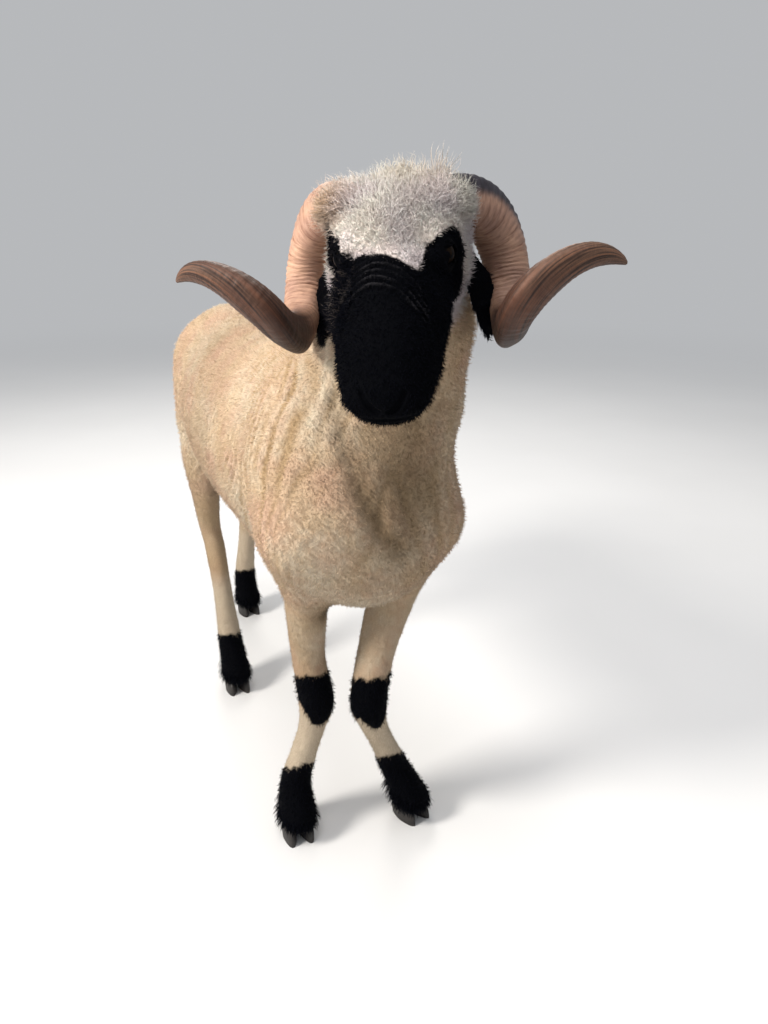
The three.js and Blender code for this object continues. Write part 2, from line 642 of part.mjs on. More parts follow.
// Eyes: balls in sockets, behind lids with an almond-shaped opening.
const EYE_RADIUS = 13.5;
const eyeAt = (side) => [side * 52, -1, 2];
const ballAt = (side, radius, along, around) => shaped(new THREE.SphereGeometry(radius, along, around),
  new THREE.Matrix4().makeTranslation(...eyeAt(side)));
function almond(side) {
  const outline = new THREE.Shape();
  outline.moveTo(-13, 0);
  outline.quadraticCurveTo(0, 13, 13, 0);
  outline.quadraticCurveTo(0, -11, -13, 0);
  const prism = new THREE.ExtrudeGeometry(outline, { depth: 40, bevelEnabled: false, curveSegments: 6 });
  const out = unit([side * 0.88, -0.42, 0.2]);
  const long = squareToward([0, -1, -0.45], out);
  const turn = new THREE.Matrix4().makeBasis(new THREE.Vector3(...long),
    new THREE.Vector3(...cross(out, long)), new THREE.Vector3(...out));
  return shaped(prism, turn.setPosition(...eyeAt(side)));
}
for (const [label, s] of SIDES) {
  const socket = ballAt(s, EYE_RADIUS + GAP, 10, 8);
  const lids = ballAt(s, EYE_RADIUS + 3.6, 14, 9);
  head = head.add(lids.subtract(maskBlock)).subtract(almond(s)).subtract(socket);
  muzzle = muzzle.add(lids.intersect(maskBlockShifted)).subtract(almond(s)).subtract(socket);
  keep(`eye_${label}`, placed(ballAt(s, EYE_RADIUS, 10, 8)), "eye", 0.15);
}
keep("head", placed(head), "crown");
keep("muzzle", placed(muzzle), "black");
keep("neck", neck, "fleece");

// Tail hangs behind the rump; the pouch hangs between the thighs.
const tailField = chain([[0, 726, 722, 27, 24], [0, 758, 686, 27, 23], [0, 773, 636, 25, 21],
  [0, 777, 580, 22, 18], [0, 775, 530, 18, 15], [0, 771, 492, 13, 12]], 8);
const pouchField = chain([[0, 610, 520, 26, 26], [0, 612, 455, 30, 30], [0, 614, 410, 36, 34]], 20);
const grownTrunk = trunkSolid(GAP * 3);
const tail = loft(tailField, [[0, 728, 720], [0, 745, 703], [0, 761, 676], [0, 770, 645], [0, 776, 610],
  [0, 777, 575], [0, 775, 535], [0, 772, 498]], { around: 10, up: [1, 0, 0], fans: [2, 2] });
keep("tail", tail.subtract(grownTrunk), "fleece");
const pouch = loft(pouchField, lineBetween([0, 610, 515], [0, 614, 412], 7),
  { around: 10, up: [1, 0, 0], fans: [2, 3] });
keep("scrotum", pouch.subtract(grownTrunk), "skin");
keep("torso", torso, "fleece");

// Legs: the lengths between the cuts, then feet and claws.
for (const name of Object.keys(LEGS)) {
  const cuts = LEG_CUTS[hostOf(name)];
  const away = name.endsWith("left") ? 1 : -1;
  const claws = [["outer", away], ["inner", -away]];
  cuts.forEach(([part, top], i) => {
    const bottom = i + 1 < cuts.length ? cuts[i + 1][1] : 8;
    let solid = legs[name].intersect(below(top - GAP)).intersect(above(bottom));
    if (part === "leg" || part === "thigh") {
      solid = solid.subtract(grownTrunk);
    }
    if (part === "foot") {
      for (const [, s] of claws) {
        solid = solid.subtract(clawSolid(name, s, GAP));
      }
    }
    keep(`${name}_${part}`, solid, part === "knee" || part === "foot" ? "black" : "fleece");
  });
  for (const [label, s] of claws) {
    keep(`${name}_claw_${label}`, clawSolid(name, s, 0), "claw", 0.5);
  }
}

// The middle of the whole thing's foot print becomes the origin.
const box = new THREE.Box3().setFromObject(group);
const shift = [-(box.min.x + box.max.x) / 2, -(box.min.y + box.max.y) / 2, -box.min.z];
for (const node of group.children) {
  node.geometry.translate(...shift);
}

export default group;
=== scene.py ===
import bpy
import numpy as np
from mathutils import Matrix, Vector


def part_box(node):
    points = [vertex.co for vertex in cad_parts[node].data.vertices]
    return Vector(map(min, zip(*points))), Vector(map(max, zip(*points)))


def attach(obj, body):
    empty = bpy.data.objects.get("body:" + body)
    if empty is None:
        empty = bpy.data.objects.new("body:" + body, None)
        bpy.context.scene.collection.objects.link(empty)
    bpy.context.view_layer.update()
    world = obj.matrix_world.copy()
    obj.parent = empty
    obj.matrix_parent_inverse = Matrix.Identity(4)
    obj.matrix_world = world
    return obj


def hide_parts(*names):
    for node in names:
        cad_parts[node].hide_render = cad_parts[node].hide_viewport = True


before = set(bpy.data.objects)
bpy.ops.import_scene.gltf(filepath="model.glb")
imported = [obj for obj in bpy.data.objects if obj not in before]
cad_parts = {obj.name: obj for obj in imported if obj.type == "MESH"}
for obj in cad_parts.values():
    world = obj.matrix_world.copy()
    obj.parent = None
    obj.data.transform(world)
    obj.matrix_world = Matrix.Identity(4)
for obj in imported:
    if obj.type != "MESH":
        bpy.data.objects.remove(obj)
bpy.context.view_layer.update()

# The sheep's shape as a field in millimetres, negative inside: origin between the front feet,
# facing -Y, its left side at +X, +Z up. The same named values as in the part's source.
SIDES = (("left", 1.0), ("right", -1.0))


def unit(v):
    v = np.asarray(v, float)
    return v / np.linalg.norm(v)


def square_toward(v, along):
    v = np.asarray(v, float)
    return unit(v - np.dot(v, along) * along)


def through(rows, x):
    # Values at x of smooth lines through rows of [x, value, value, ...].
    rows = np.asarray(rows, np.float32)
    xs = rows[:, 0]
    last = len(rows) - 1
    at = np.clip(x, xs[0], xs[-1]).astype(np.float32)
    i = np.clip(np.searchsorted(xs, at, side="right") - 1, 0, last - 1)
    low = np.maximum(np.arange(last + 1) - 1, 0)
    high = np.minimum(np.arange(last + 1) + 1, last)
    slopes = (rows[high, 1:] - rows[low, 1:]) / (xs[high] - xs[low])[:, None]
    span = (xs[i + 1] - xs[i])[:, None]
    t = (at - xs[i])[:, None] / span
    t2 = t * t
    t3 = t2 * t
    return ((2 * t3 - 3 * t2 + 1) * rows[i, 1:] + (t3 - 2 * t2 + t) * span * slopes[i]
            + (3 * t2 - 2 * t3) * rows[i + 1, 1:] + (t3 - t2) * span * slopes[i + 1])


def blend(a, b, k):
    h = np.clip(0.5 + 0.5 * (b - a) / k, 0, 1)
    return b + (a - b) * h - k * h * (1 - h)


def blend_all(values, k):
    total = values[0]
    for value in values[1:]:
        total = blend(total, value, k)
    return total


def oval_value(x, y, z, rx, ry, rz):
    k0 = np.sqrt((x / rx) ** 2 + (y / ry) ** 2 + (z / rz) ** 2) + 1e-6
    k1 = np.sqrt((x / rx ** 2) ** 2 + (y / ry ** 2) ** 2 + (z / rz ** 2) ** 2) + 1e-6
    return k0 * (k0 - 1) / k1


def oval(p, at, r):
    return oval_value(p[:, 0] - at[0], p[:, 1] - at[1], p[:, 2] - at[2], *r)


def rod(p, a, b, side_hint=(1.0, 0.0, 0.0)):
    # Tapered rod of oval section; stations hold x, y, z, half-width sideways, half-width fore and aft.
    start = np.array(a[:3], float)
    reach = np.linalg.norm(np.array(b[:3]) - start)
    along = (np.array(b[:3]) - start) / reach
    side = square_toward(side_hint, along)
    fore = np.cross(along, side)
    q = p - start.astype(np.float32)
    run = q @ along.astype(np.float32)
    h = np.clip(run / reach, 0, 1)
    rs = a[3] + (b[3] - a[3]) * h
    rf = a[4] + (b[4] - a[4]) * h
    return oval_value(q @ side.astype(np.float32), q @ fore.astype(np.float32), run - h * reach,
                      rs, rf, np.minimum(rs, rf))


def chain(p, stations, k):
    return blend_all([rod(p, a, b) for a, b in zip(stations, stations[1:])], k)


# Barrel of the body: y, top, bottom, half-width, narrowing towards the top.
TRUNK = [
    [-140, 606, 532, 34, 0], [-134, 640, 500, 60, 0], [-119, 676, 464, 88, 0], [-92, 710, 440, 112, 0.04],
    [-45, 745, 424, 131, 0.06], [20, 785, 416, 140, 0.02], [130, 788, 424, 145, 0.06],
    [290, 775, 442, 147, 0.1], [430, 775, 466, 142, 0.1], [540, 788, 498, 125, 0.12],
    [630, 785, 528, 108, 0.1], [700, 760, 560, 87, 0.05], [742, 720, 592, 60, 0],
    [758, 692, 620, 36, 0], [764, 676, 638, 18, 0]]
END_STEEP = 4.0
LEGS = {
    "fore_right": [[-80, -14, 560, 40, 50], [-76, -16, 500, 38, 48], [-67, 14, 400, 33, 42],
                   [-60, 33, 320, 29, 37], [-52, 26, 240, 31, 36], [-56, 34, 195, 25, 29],
                   [-70, 42, 140, 25, 27], [-84, 46, 88, 28, 31], [-90, 26, 45, 32, 39]],
    "fore_left": [[90, -14, 560, 42, 52], [89, -18, 500, 45, 50], [60, -5, 400, 38, 43],
                  [34, -9, 320, 31, 38], [17, -18, 240, 31, 36], [30, -6, 195, 26, 29],
                  [55, 6, 140, 25, 27], [78, 14, 88, 29, 31], [96, -8, 45, 33, 39]],
    "hind_right": [[-52, 620, 660, 28, 60], [-76, 592, 580, 36, 88], [-89, 564, 500, 36, 70],
                   [-86, 560, 430, 31, 51], [-76, 588, 345, 25, 36], [-70, 582, 300, 24, 34],
                   [-66, 552, 200, 23, 28], [-62, 532, 100, 28, 31], [-62, 500, 45, 31, 39]],
    "hind_left": [[52, 640, 660, 28, 60], [76, 622, 580, 36, 88], [88, 650, 500, 36, 64],
                  [82, 702, 430, 31, 44], [70, 788, 345, 25, 34], [67, 800, 300, 24, 34],
                  [62, 822, 200, 23, 28], [60, 850, 100, 28, 31], [60, 838, 45, 31, 39]]}
NECK = [[6, 8, 640, 120, 142], [23, -45, 730, 105, 112], [32, -86, 820, 84, 84], [14, -106, 885, 75, 68]]
TAIL = [[0, 726, 722, 27, 24], [0, 758, 686, 27, 23], [0, 773, 636, 25, 21], [0, 777, 580, 22, 18],
        [0, 775, 530, 18, 15], [0, 771, 492, 13, 12]]
POUCH = [[0, 610, 520, 26, 26], [0, 612, 455, 30, 30], [0, 614, 410, 36, 34]]


def barrel(p):
    y = np.clip(p[:, 1], TRUNK[0][0], TRUNK[-1][0])
    top, bottom, half, egg = through(TRUNK, y).T
    high = (top - bottom) / 2
    u = (p[:, 2] - (top + bottom) / 2) / high
    wide = half * (1 - egg * np.clip(u, -1, 1))
    k = np.hypot(p[:, 0] / wide, u)
    g = np.hypot(p[:, 0] / wide ** 2, u / high) / np.maximum(k, 1e-6) + 1e-6
    return (k - 1) / g + np.abs(p[:, 1] - y) * END_STEEP


def leg_rows(stations):
    # Stations with the height first, growing downwards.
    return [[-s[2], s[0], s[1], s[3], s[4]] for s in stations]


def leg(p, stations):
    rows = leg_rows(stations)
    z = np.clip(p[:, 2], stations[-1][2], stations[0][2])
    x, y, side, fore = through(rows, -z).T
    slope = (through(rows, 2 - z)[:, 1] - through(rows, -2 - z)[:, 1]) / 4
    return oval_value(p[:, 0] - x, p[:, 1] - y, p[:, 2] - z, side, fore * np.hypot(1, slope),
                      np.minimum(side, fore))


# Head frame: origin between the eyes, x to its left, y to the back, z up.
HEAD_AT = np.array([-24.6, -190.9, 906.0])
NOSE_DOWN, TURN, LEAN = np.radians([29.5, 31.0, 3.1])


def turn_about(axis, angle):
    c, s = np.cos(angle), np.sin(angle)
    i, j = [(1, 2), (2, 0), (0, 1)][axis]
    m = np.eye(3)
    m[i, i] = m[j, j] = c
    m[i, j] = -s
    m[j, i] = s
    return m


HEAD_ROWS = turn_about(1, LEAN) @ turn_about(0, -NOSE_DOWN) @ turn_about(2, TURN)


def to_head(p):
    return ((p - HEAD_AT) @ HEAD_ROWS.T).astype(np.float32)


def from_head(q):
    return np.asarray(q) @ HEAD_ROWS + HEAD_AT


SKULL = [[0, 75, -12, 50, 56], [0, 20, -12, 55, 56], [0, -50, -30, 49, 50], [0, -110, -50, 49, 42],
         [0, -150, -62, 47, 33]]
EAR_LINE = [[58, 58, -24, 12, 9], [74, 55, -42, 15, 9], [88, 46, -64, 19, 8], [96, 34, -87, 21, 7],
            [99, 24, -107, 17, 6], [98, 16, -121, 9, 5]]
EYE = np.array([52.0, -1.0, 2.0])
EYE_RADIUS = 13.5
EYE_OUT = unit([0.88, -0.42, 0.2])
EYE_LONG = square_toward([0, -1, -0.45], EYE_OUT)
EYE_UP = np.cross(EYE_OUT, EYE_LONG)
# Lids: thickness over the eyeball, half the length of the opening, and its height above and below.
LIDS = dict(thick=2.6, long=13.5, upper=6.2, lower=5.0)


def mirrored(v, s):
    # A point or way of the left side, brought to side s of the head.
    return (v * [s, 1, 1]).astype(np.float32)


def eye_distance(q, s):
    return np.linalg.norm(q - mirrored(EYE, s), axis=1)


def bare_head(q):
    # Head without the hollows, which the grooves are laid on.
    skull = chain(q, SKULL, 30)
    for _, s in SIDES:
        skull = blend(skull, rod(q, [s * 36, 50, -62, 17, 42], [s * 24, -60, -78, 15, 22]), 24)
        skull = blend(skull, oval(q, [s * 46, 6, 12], [19, 30, 24]), 24)
        skull = blend(skull, oval(q, [s * 40, -45, -40], [18, 45, 30]), 24)
    crown = blend(oval(q, [0, 62, 14], [62, 58, 38]), oval(q, [0, 22, 17], [52, 42, 30]), 30)
    for _, s in SIDES:
        crown = blend(crown, oval(q, [s * 58, 45, -32], [27, 43, 52]), 30)
    for _, s in SIDES:
        crown = blend(crown, oval(q, [s * 56, 72, 18], [30, 34, 25]), 30)
    return blend(skull, crown, 30)


CAST_STEPS = 60


def cast(field, start, toward):
    # Points where rays from inside leave a field.
    start = np.asarray(start, np.float32)
    toward = np.asarray(toward, np.float32)
    toward = toward / np.linalg.norm(toward, axis=1)[:, None]
    near = np.zeros(len(start), np.float32)
    for _ in range(CAST_STEPS):
        value = field(start + toward * near[:, None])
        near = near - value * 0.7
    return start + toward * near[:, None]


MUZZLE_MIDDLE = np.array([0.0, -148.0, -60.0])
FACE_DEPTH = 3.0


def groove(starts, ways):
    # A line laid on the muzzle, at the depth of the skin.
    ways = np.array(ways, float)
    ways /= np.linalg.norm(ways, axis=1)[:, None]
    return cast(bare_head, starts, ways) - ways * FACE_DEPTH


def make_grooves():
    t = np.linspace(-1, 1, 25)
    back = 46 * np.maximum(np.abs(t) - 0.55, 0) / 0.45
    starts = MUZZLE_MIDDLE + np.stack([0 * t, back, 0 * t], 1)
    mouth = groove(starts, np.stack([np.sin(t * 1.7), -np.cos(t * 1.7), 0 * t - 0.36], 1))
    rows = [(mouth, np.full(25, 1.9))]
    z = np.linspace(-0.34, 0.06, 6)
    furrow = groove(np.tile(MUZZLE_MIDDLE, (6, 1)), np.stack([0 * z, 0 * z - 1, z], 1))
    rows.append((furrow, np.full(6, 1.5)))
    t = np.linspace(0, 1, 9)
    for _, s in SIDES:
        ways = np.stack([s * (0.17 + 0.5 * t), -1 + 0.35 * t, 0.5 * t ** 1.4], 1)
        nostril = groove(np.tile(MUZZLE_MIDDLE, (9, 1)), ways)
        rows.append((nostril, 4.6 - 3.0 * np.abs(t - 0.35) ** 1.2))
    return rows


GROOVES = make_grooves()


# A distance longer than any that counts.
FAR = 1e3


def tube_value(q, points, radii):
    # Distance from a line of balls, less their radius.
    best = np.full(len(q), FAR, np.float32)
    for a, b, ra, rb in zip(points, points[1:], radii, radii[1:]):
        ab = (b - a).astype(np.float32)
        h = np.clip((q - a.astype(np.float32)) @ ab / (ab @ ab), 0, 1)
        d = np.linalg.norm(q - a.astype(np.float32) - h[:, None] * ab, axis=1) - (ra + (rb - ra) * h)
        best = np.minimum(best, d)
    return best


def ear_value(q, s):
    q = q * np.array([s, 1, 1], np.float32)
    rods = [rod(q, [*a[:3], a[3], a[4] * 0.7], [*b[:3], b[3], b[4] * 0.7], (0.25, 0.75, 0.6))
            for a, b in zip(EAR_LINE, EAR_LINE[1:])]
    return blend_all(rods, 6)


def smooth_step(x, low, high):
    t = np.clip((x - low) / (high - low), 0, 1)
    return t * t * (3 - 2 * t)


def crownness(q):
    # One on the woolly part of the head, nothing on the bare black face.
    return smooth_step(q[:, 1] + 0.5 * q[:, 2] + 12, -14, 10)


# Wrinkles over the nose lie between first and last, measured from the line below; rings lie round each eye.
WRINKLES = dict(first=-6.0, last=-50.0, pitch=8.0, depth=2.6, wander=1.6)
EYE_RINGS = dict(start=16, waves=1.25, depth=0.7)
# Where the black of the face ends over the brow: x, and the y of the edge.
BROW = np.array([[-90, -8], [-66, -12], [-58, -20], [-47, -29], [-31, -33], [-14, -37], [3, -42],
                 [15, -47], [25, -51], [33, -50], [37, -36], [41, -25], [51, -14], [61, 0],
                 [71, 18], [77, 26], [84, 28]])
WRINKLE_LINE = np.array([[-60, -58], [-45, -47], [-31, -41], [-14, -40], [0, -42], [15, -47], [30, -56],
                         [60, -84]])


def wrinkles(q):
    # Cross folds over the bridge of the nose, and fine rings of folds round each eye.
    run = q[:, 1] - np.interp(q[:, 0], WRINKLE_LINE[:, 0], WRINKLE_LINE[:, 1])
    run = run + WRINKLES["wander"] * noise(q, 22, 61)
    window = (smooth_step(-run, -WRINKLES["first"] - 8, -WRINKLES["first"])
              * (1 - smooth_step(-run, -WRINKLES["last"] - 16, -WRINKLES["last"])))
    top = smooth_step(q[:, 2], -30, -8) * (1 - smooth_step(np.abs(q[:, 0]), 38, 56))
    top = top * (0.75 + 0.5 * noise(q, 15, 62))
    value = WRINKLES["depth"] * np.sin(2 * np.pi * run / WRINKLES["pitch"]) * window * top
    for _, s in SIDES:
        r = eye_distance(q, s)
        ring = EYE_RINGS["depth"] * np.sin((r - EYE_RINGS["start"]) * EYE_RINGS["waves"])
        value = value + ring * smooth_step(r, 16, 19) * (1 - smooth_step(r, 24, 34))
    return value


def cuff(q):
    # One where wool grows thick round the root of a horn.
    from_root = (q - np.stack([np.sign(q[:, 0]) * 62, 0 * q[:, 1] + 76, 0 * q[:, 2] + 30], 1)) / 32
    return np.exp(-(from_root ** 2).sum(1)).astype(np.float32)


def head_value(q):
    woolly = crownness(q)
    depth = FACE_DEPTH + woolly * (4 + 6 * smooth_step(q[:, 2], -20, 40)) * (1 - 0.7 * cuff(q))
    value = bare_head(q) + depth + wrinkles(q)
    for _, s in SIDES:
        d = q - mirrored(EYE, s)
        r = np.linalg.norm(d, axis=1)
        value = blend(value, r - (EYE_RADIUS + LIDS["thick"]), 7)
        u = d @ mirrored(EYE_LONG, s)
        v = d @ mirrored(EYE_UP, s)
        bow = 1 - (u / LIDS["long"]) ** 2
        slit = np.maximum(v - LIDS["upper"] * bow, -v - LIDS["lower"] * bow) * 0.75
        slit = np.maximum(slit, -(d @ mirrored(EYE_OUT, s)))
        value = -blend(-value, slit, 1.5)
        value = np.maximum(value, EYE_RADIUS + 0.25 - r)
    low = q[:, 1] < -60
    if low.any():
        part = value[low]
        for points, radii in GROOVES:
            part = -blend(-part, tube_value(q[low], points, radii), 2.0)
        value[low] = part
    return value


# How far the skin lies inside the solids, where the coat makes up the rest.
COAT = dict(body=6.0, neck=7.0, leg=4.5, tail=6.0, ear=2.0, pouch=1.0)
# How softly each part runs into the rest.
JOIN = dict(body=50, neck=50, leg=24, tail=14, pouch=8, ear=8, head=14)
POUCH_JOIN = 20
HEAD_BOX = ((-150, 130), (-400, -60), (700, 1060))


def within(p, box, margin=0.0):
    good = np.ones(len(p), bool)
    for k, (low, high) in enumerate(box):
        good &= (p[:, k] > low - margin) & (p[:, k] < high + margin)
    return good


def beside_head(p):
    # Points on the head and up to 20 mm off its box.
    return within(p, HEAD_BOX, 20)


def body_value(p):
    # Trunk, shoulders, thighs, neck, legs, tail and pouch, each drawn in by the depth of its coat.
    value = barrel(p)
    shoulders = blend_all([rod(p, *pair) for _, s in SIDES for pair in (
        ([s * 72, 50, 700, 30, 70], [s * 98, -48, 548, 44, 54]),
        ([s * 98, -48, 548, 44, 54], [s * 77 + 7, 10, 485, 40, 49]))], 30)
    thighs = blend_all([rod(p, [s * 58, 650, 690, 36, 66], [s * 78, 600, 575, 38, 82])
                        for _, s in SIDES], 20)
    value = blend(blend(value, shoulders, JOIN["body"]), thighs, JOIN["body"]) + COAT["body"]
    neck = chain(p, NECK, JOIN["neck"]) + COAT["neck"]
    # The root of the neck doesn't swell by more than this over what meets there.
    swell = 25
    value = np.maximum(blend(value, neck, JOIN["neck"]), np.minimum(value, neck) - swell)
    for stations in LEGS.values():
        value = blend(value, leg(p, stations) + COAT["leg"], JOIN["leg"])
    value = blend(value, chain(p, TAIL, 8) + COAT["tail"], JOIN["tail"])
    return blend(value, chain(p, POUCH, POUCH_JOIN) + COAT["pouch"], JOIN["pouch"])


def noise(p, size, seed):
    # Smooth value noise between -1 and 1.
    q = p / size
    base = np.floor(q).astype(np.int64)
    t = (q - base).astype(np.float32)
    t = t * t * (3 - 2 * t)
    total = np.zeros(len(p), np.float32)
    for i in (0, 1):
        for j in (0, 1):
            for k in (0, 1):
                c = base + [i, j, k]
                h = (c[:, 0] * 374761393 + c[:, 1] * 668265263 + c[:, 2] * 2147483647 + seed * 974634777)
                h = (h ^ (h >> 13)) * 1274126177
                h = (h ^ (h >> 16)) & 0xFFFF
                w = (t[:, 0] if i else 1 - t[:, 0]) * (t[:, 1] if j else 1 - t[:, 1])
                total += w * (t[:, 2] if k else 1 - t[:, 2]) * (h.astype(np.float32) / 32767.5 - 1)
    return total


def skin_value(p):
    value = body_value(p)
    near = within(p, HEAD_BOX, 40)
    if near.any():
        q = to_head(p[near])
        head = head_value(q)
        for _, s in SIDES:
            head = blend(head, ear_value(q, s) + COAT["ear"], JOIN["ear"])
        value[near] = blend(value[near], head, JOIN["head"])
    return value


AT_ONCE = 400000


def spread(blocks, times):
    for axis in range(3):
        blocks = np.repeat(blocks, times, axis)
    return blocks


def sparse_grid(field, low, high, step, coarse=5):
    # Field values on a grid, worked out only near the surface.
    low = np.asarray(low, np.float32)
    count = (np.ceil((np.asarray(high) - low) / (step * coarse)).astype(int)) * coarse
    blocks = count // coarse
    centre = [low[k] + step * coarse * (np.arange(blocks[k]) + 0.5) for k in range(3)]
    mesh = np.stack(np.meshgrid(*centre, indexing="ij"), -1).reshape(-1, 3).astype(np.float32)
    rough = field(mesh).reshape(blocks)
    near = np.abs(rough) < step * coarse * 1.9
    values = spread(rough, coarse)
    near = spread(near, coarse)
    spots = np.flatnonzero(near)
    where = np.stack(np.unravel_index(spots, near.shape), 1)
    flat = values.reshape(-1)
    for start in range(0, len(spots), AT_ONCE):
        part = slice(start, start + AT_ONCE)
        flat[spots[part]] = field((low + step * where[part]).astype(np.float32))
    return values, low


def edge_ends(axis):
    # The parts of a grid that hold the two ends of every edge along an axis.
    first = [slice(None)] * 3
    second = [slice(None)] * 3
    first[axis] = slice(0, -1)
    second[axis] = slice(1, None)
    return tuple(first), tuple(second)


def surface_nets(values, low, step):
    # Quads around every grid edge that crosses the surface, one corner in each cell crossed.
    inside = values < 0
    cells = np.array(values.shape) - 1
    sums = np.zeros(tuple(cells) + (3,), np.float32)
    counts = np.zeros(tuple(cells), np.float32)
    for axis in range(3):
        one, two = [k for k in range(3) if k != axis]
        first, second = edge_ends(axis)
        a, b = values[first], values[second]
        cut = inside[first] != inside[second]
        t = np.where(cut, a / np.where(cut, a - b, 1), 0)
        for i in (0, 1):
            for j in (0, 1):
                part = [slice(None)] * 3
                part[one] = slice(i, i + cells[one])
                part[two] = slice(j, j + cells[two])
                part = tuple(part)
                c = cut[part].astype(np.float32)
                counts += c
                sums[..., axis] += c * t[part]
                sums[..., one] += c * i
                sums[..., two] += c * j
    used = counts > 0
    index = np.full(tuple(cells), -1, np.int64)
    index[used] = np.arange(used.sum())
    corners = low + step * (np.argwhere(used) + sums[used] / counts[used][:, None])
    quads = []
    for axis in range(3):
        one, two = (axis + 1) % 3, (axis + 2) % 3
        first, second = edge_ends(axis)
        start = inside[first]
        edges = np.argwhere(start != inside[second])
        ok = ((edges[:, one] > 0) & (edges[:, two] > 0)
              & (edges[:, one] < cells[one]) & (edges[:, two] < cells[two]))
        edges = edges[ok]
        found = []
        for back_one, back_two in ((0, 0), (1, 0), (1, 1), (0, 1)):
            spot = edges.copy()
            spot[:, one] -= back_one
            spot[:, two] -= back_two
            found.append(index[tuple(spot.T)])
        quad = np.stack(found, 1)
        flip = ~start[tuple(edges.T)]
        quad[flip] = quad[flip][:, ::-1]
        quads.append(quad)
    return corners.astype(np.float32), np.concatenate(quads)


SLOPE_REACH = 0.5


def slopes_of(field, p):
    steps = np.eye(3, dtype=np.float32) * SLOPE_REACH
    return np.stack([(field(p + d) - field(p - d)) / (2 * SLOPE_REACH) for d in steps], 1)


def settle(field, p, rounds):
    # Moves points on to the surface of a field.
    for _ in range(rounds):
        slope = slopes_of(field, p)
        p = p - (field(p) / np.maximum((slope ** 2).sum(1), 0.2))[:, None] * slope
    return p.astype(np.float32)


eye_low, eye_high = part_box("eye_left")
HOME = from_head(EYE) - 500 * (np.array(eye_low) + np.array(eye_high))


def place(p):
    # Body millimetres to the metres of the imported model.
    return (np.asarray(p) - HOME) / 1000


# Camera of the photograph, worked out from the animal's feet, rump and head.
FOCAL = 829.0 / 1024 * 36
CAMERA_AT = (-421.3, -1027.0, 950.0)
CAMERA_DOWN, CAMERA_ROUND = np.radians([19.8, 24.75])


def make_camera():
    data = bpy.data.cameras.new("view")
    data.lens = FOCAL
    data.sensor_width = 36
    camera = bpy.data.objects.new("view", data)
    camera.location = place(CAMERA_AT)
    camera.rotation_euler = (np.pi / 2 - CAMERA_DOWN, 0, -CAMERA_ROUND)
    bpy.context.collection.objects.link(camera)
    bpy.context.scene.camera = camera


# Materials.
def new_material(name):
    material = bpy.data.materials.new(name)
    material.use_nodes = True
    tree = material.node_tree
    shader = tree.nodes["Principled BSDF"]
    return material, tree, shader


def add(tree, kind, **values):
    node = tree.nodes.new(kind)
    for key, value in values.items():
        setattr(node, key, value)
    return node


def link(tree, start, end):
    tree.links.new(start, end)


def set_inputs(node, values):
    for name, value in values.items():
        node.inputs[name].default_value = value


def noise_node(tree, scale, detail, rough, vector):
    node = add(tree, "ShaderNodeTexNoise")
    set_inputs(node, {"Scale": scale, "Detail": detail, "Roughness": rough})
    link(tree, vector, node.inputs["Vector"])
    return node


def ramp_node(tree, source, stops):
    node = add(tree, "ShaderNodeValToRGB")
    ramp = node.color_ramp
    while len(ramp.elements) < len(stops):
        ramp.elements.new(0.5)
    for element, (spot, colour) in zip(ramp.elements, stops):
        element.position = spot
        element.color = (*colour, 1)
    link(tree, source, node.inputs["Fac"])
    return node


def multiply(tree, a, b, amount=1.0):
    node = add(tree, "ShaderNodeMix", data_type="RGBA", blend_type="MULTIPLY")
    node.inputs["Factor"].default_value = amount
    link(tree, a, node.inputs["A"])
    link(tree, b, node.inputs["B"])
    return node.outputs["Result"]


def bump_node(tree, shader, height, strength, distance):
    node = add(tree, "ShaderNodeBump")
    set_inputs(node, {"Strength": strength, "Distance": distance})
    link(tree, height, node.inputs["Height"])
    link(tree, node.outputs["Normal"], shader.inputs["Normal"])


def grey(value):
    return (value, value, value)


def object_place(tree):
    return add(tree, "ShaderNodeTexCoord").outputs["Object"]


def tint_of(tree):
    # The colour that the mesh carries.
    return add(tree, "ShaderNodeAttribute", attribute_name="tint").outputs["Color"]


def speckled(tree, shader, scale, detail, rough, stops):
    # Gives the shader the mesh's own colour, broken up by fine noise.
    speck = noise_node(tree, scale, detail, rough, object_place(tree)).outputs["Fac"]
    tone = ramp_node(tree, speck, stops)
    colour = multiply(tree, tint_of(tree), tone.outputs["Color"])
    link(tree, colour, shader.inputs["Base Color"])
    return colour, speck


def show(tree, shader, other, amount):
    # Shows a mixture of two shaders; the amount is a number or the output of a node.
    both = add(tree, "ShaderNodeMixShader")
    if isinstance(amount, float):
        both.inputs["Fac"].default_value = amount
    else:
        link(tree, amount, both.inputs["Fac"])
    link(tree, shader, both.inputs[1])
    link(tree, other, both.inputs[2])
    link(tree, both.outputs["Shader"], tree.nodes["Material Output"].inputs["Surface"])


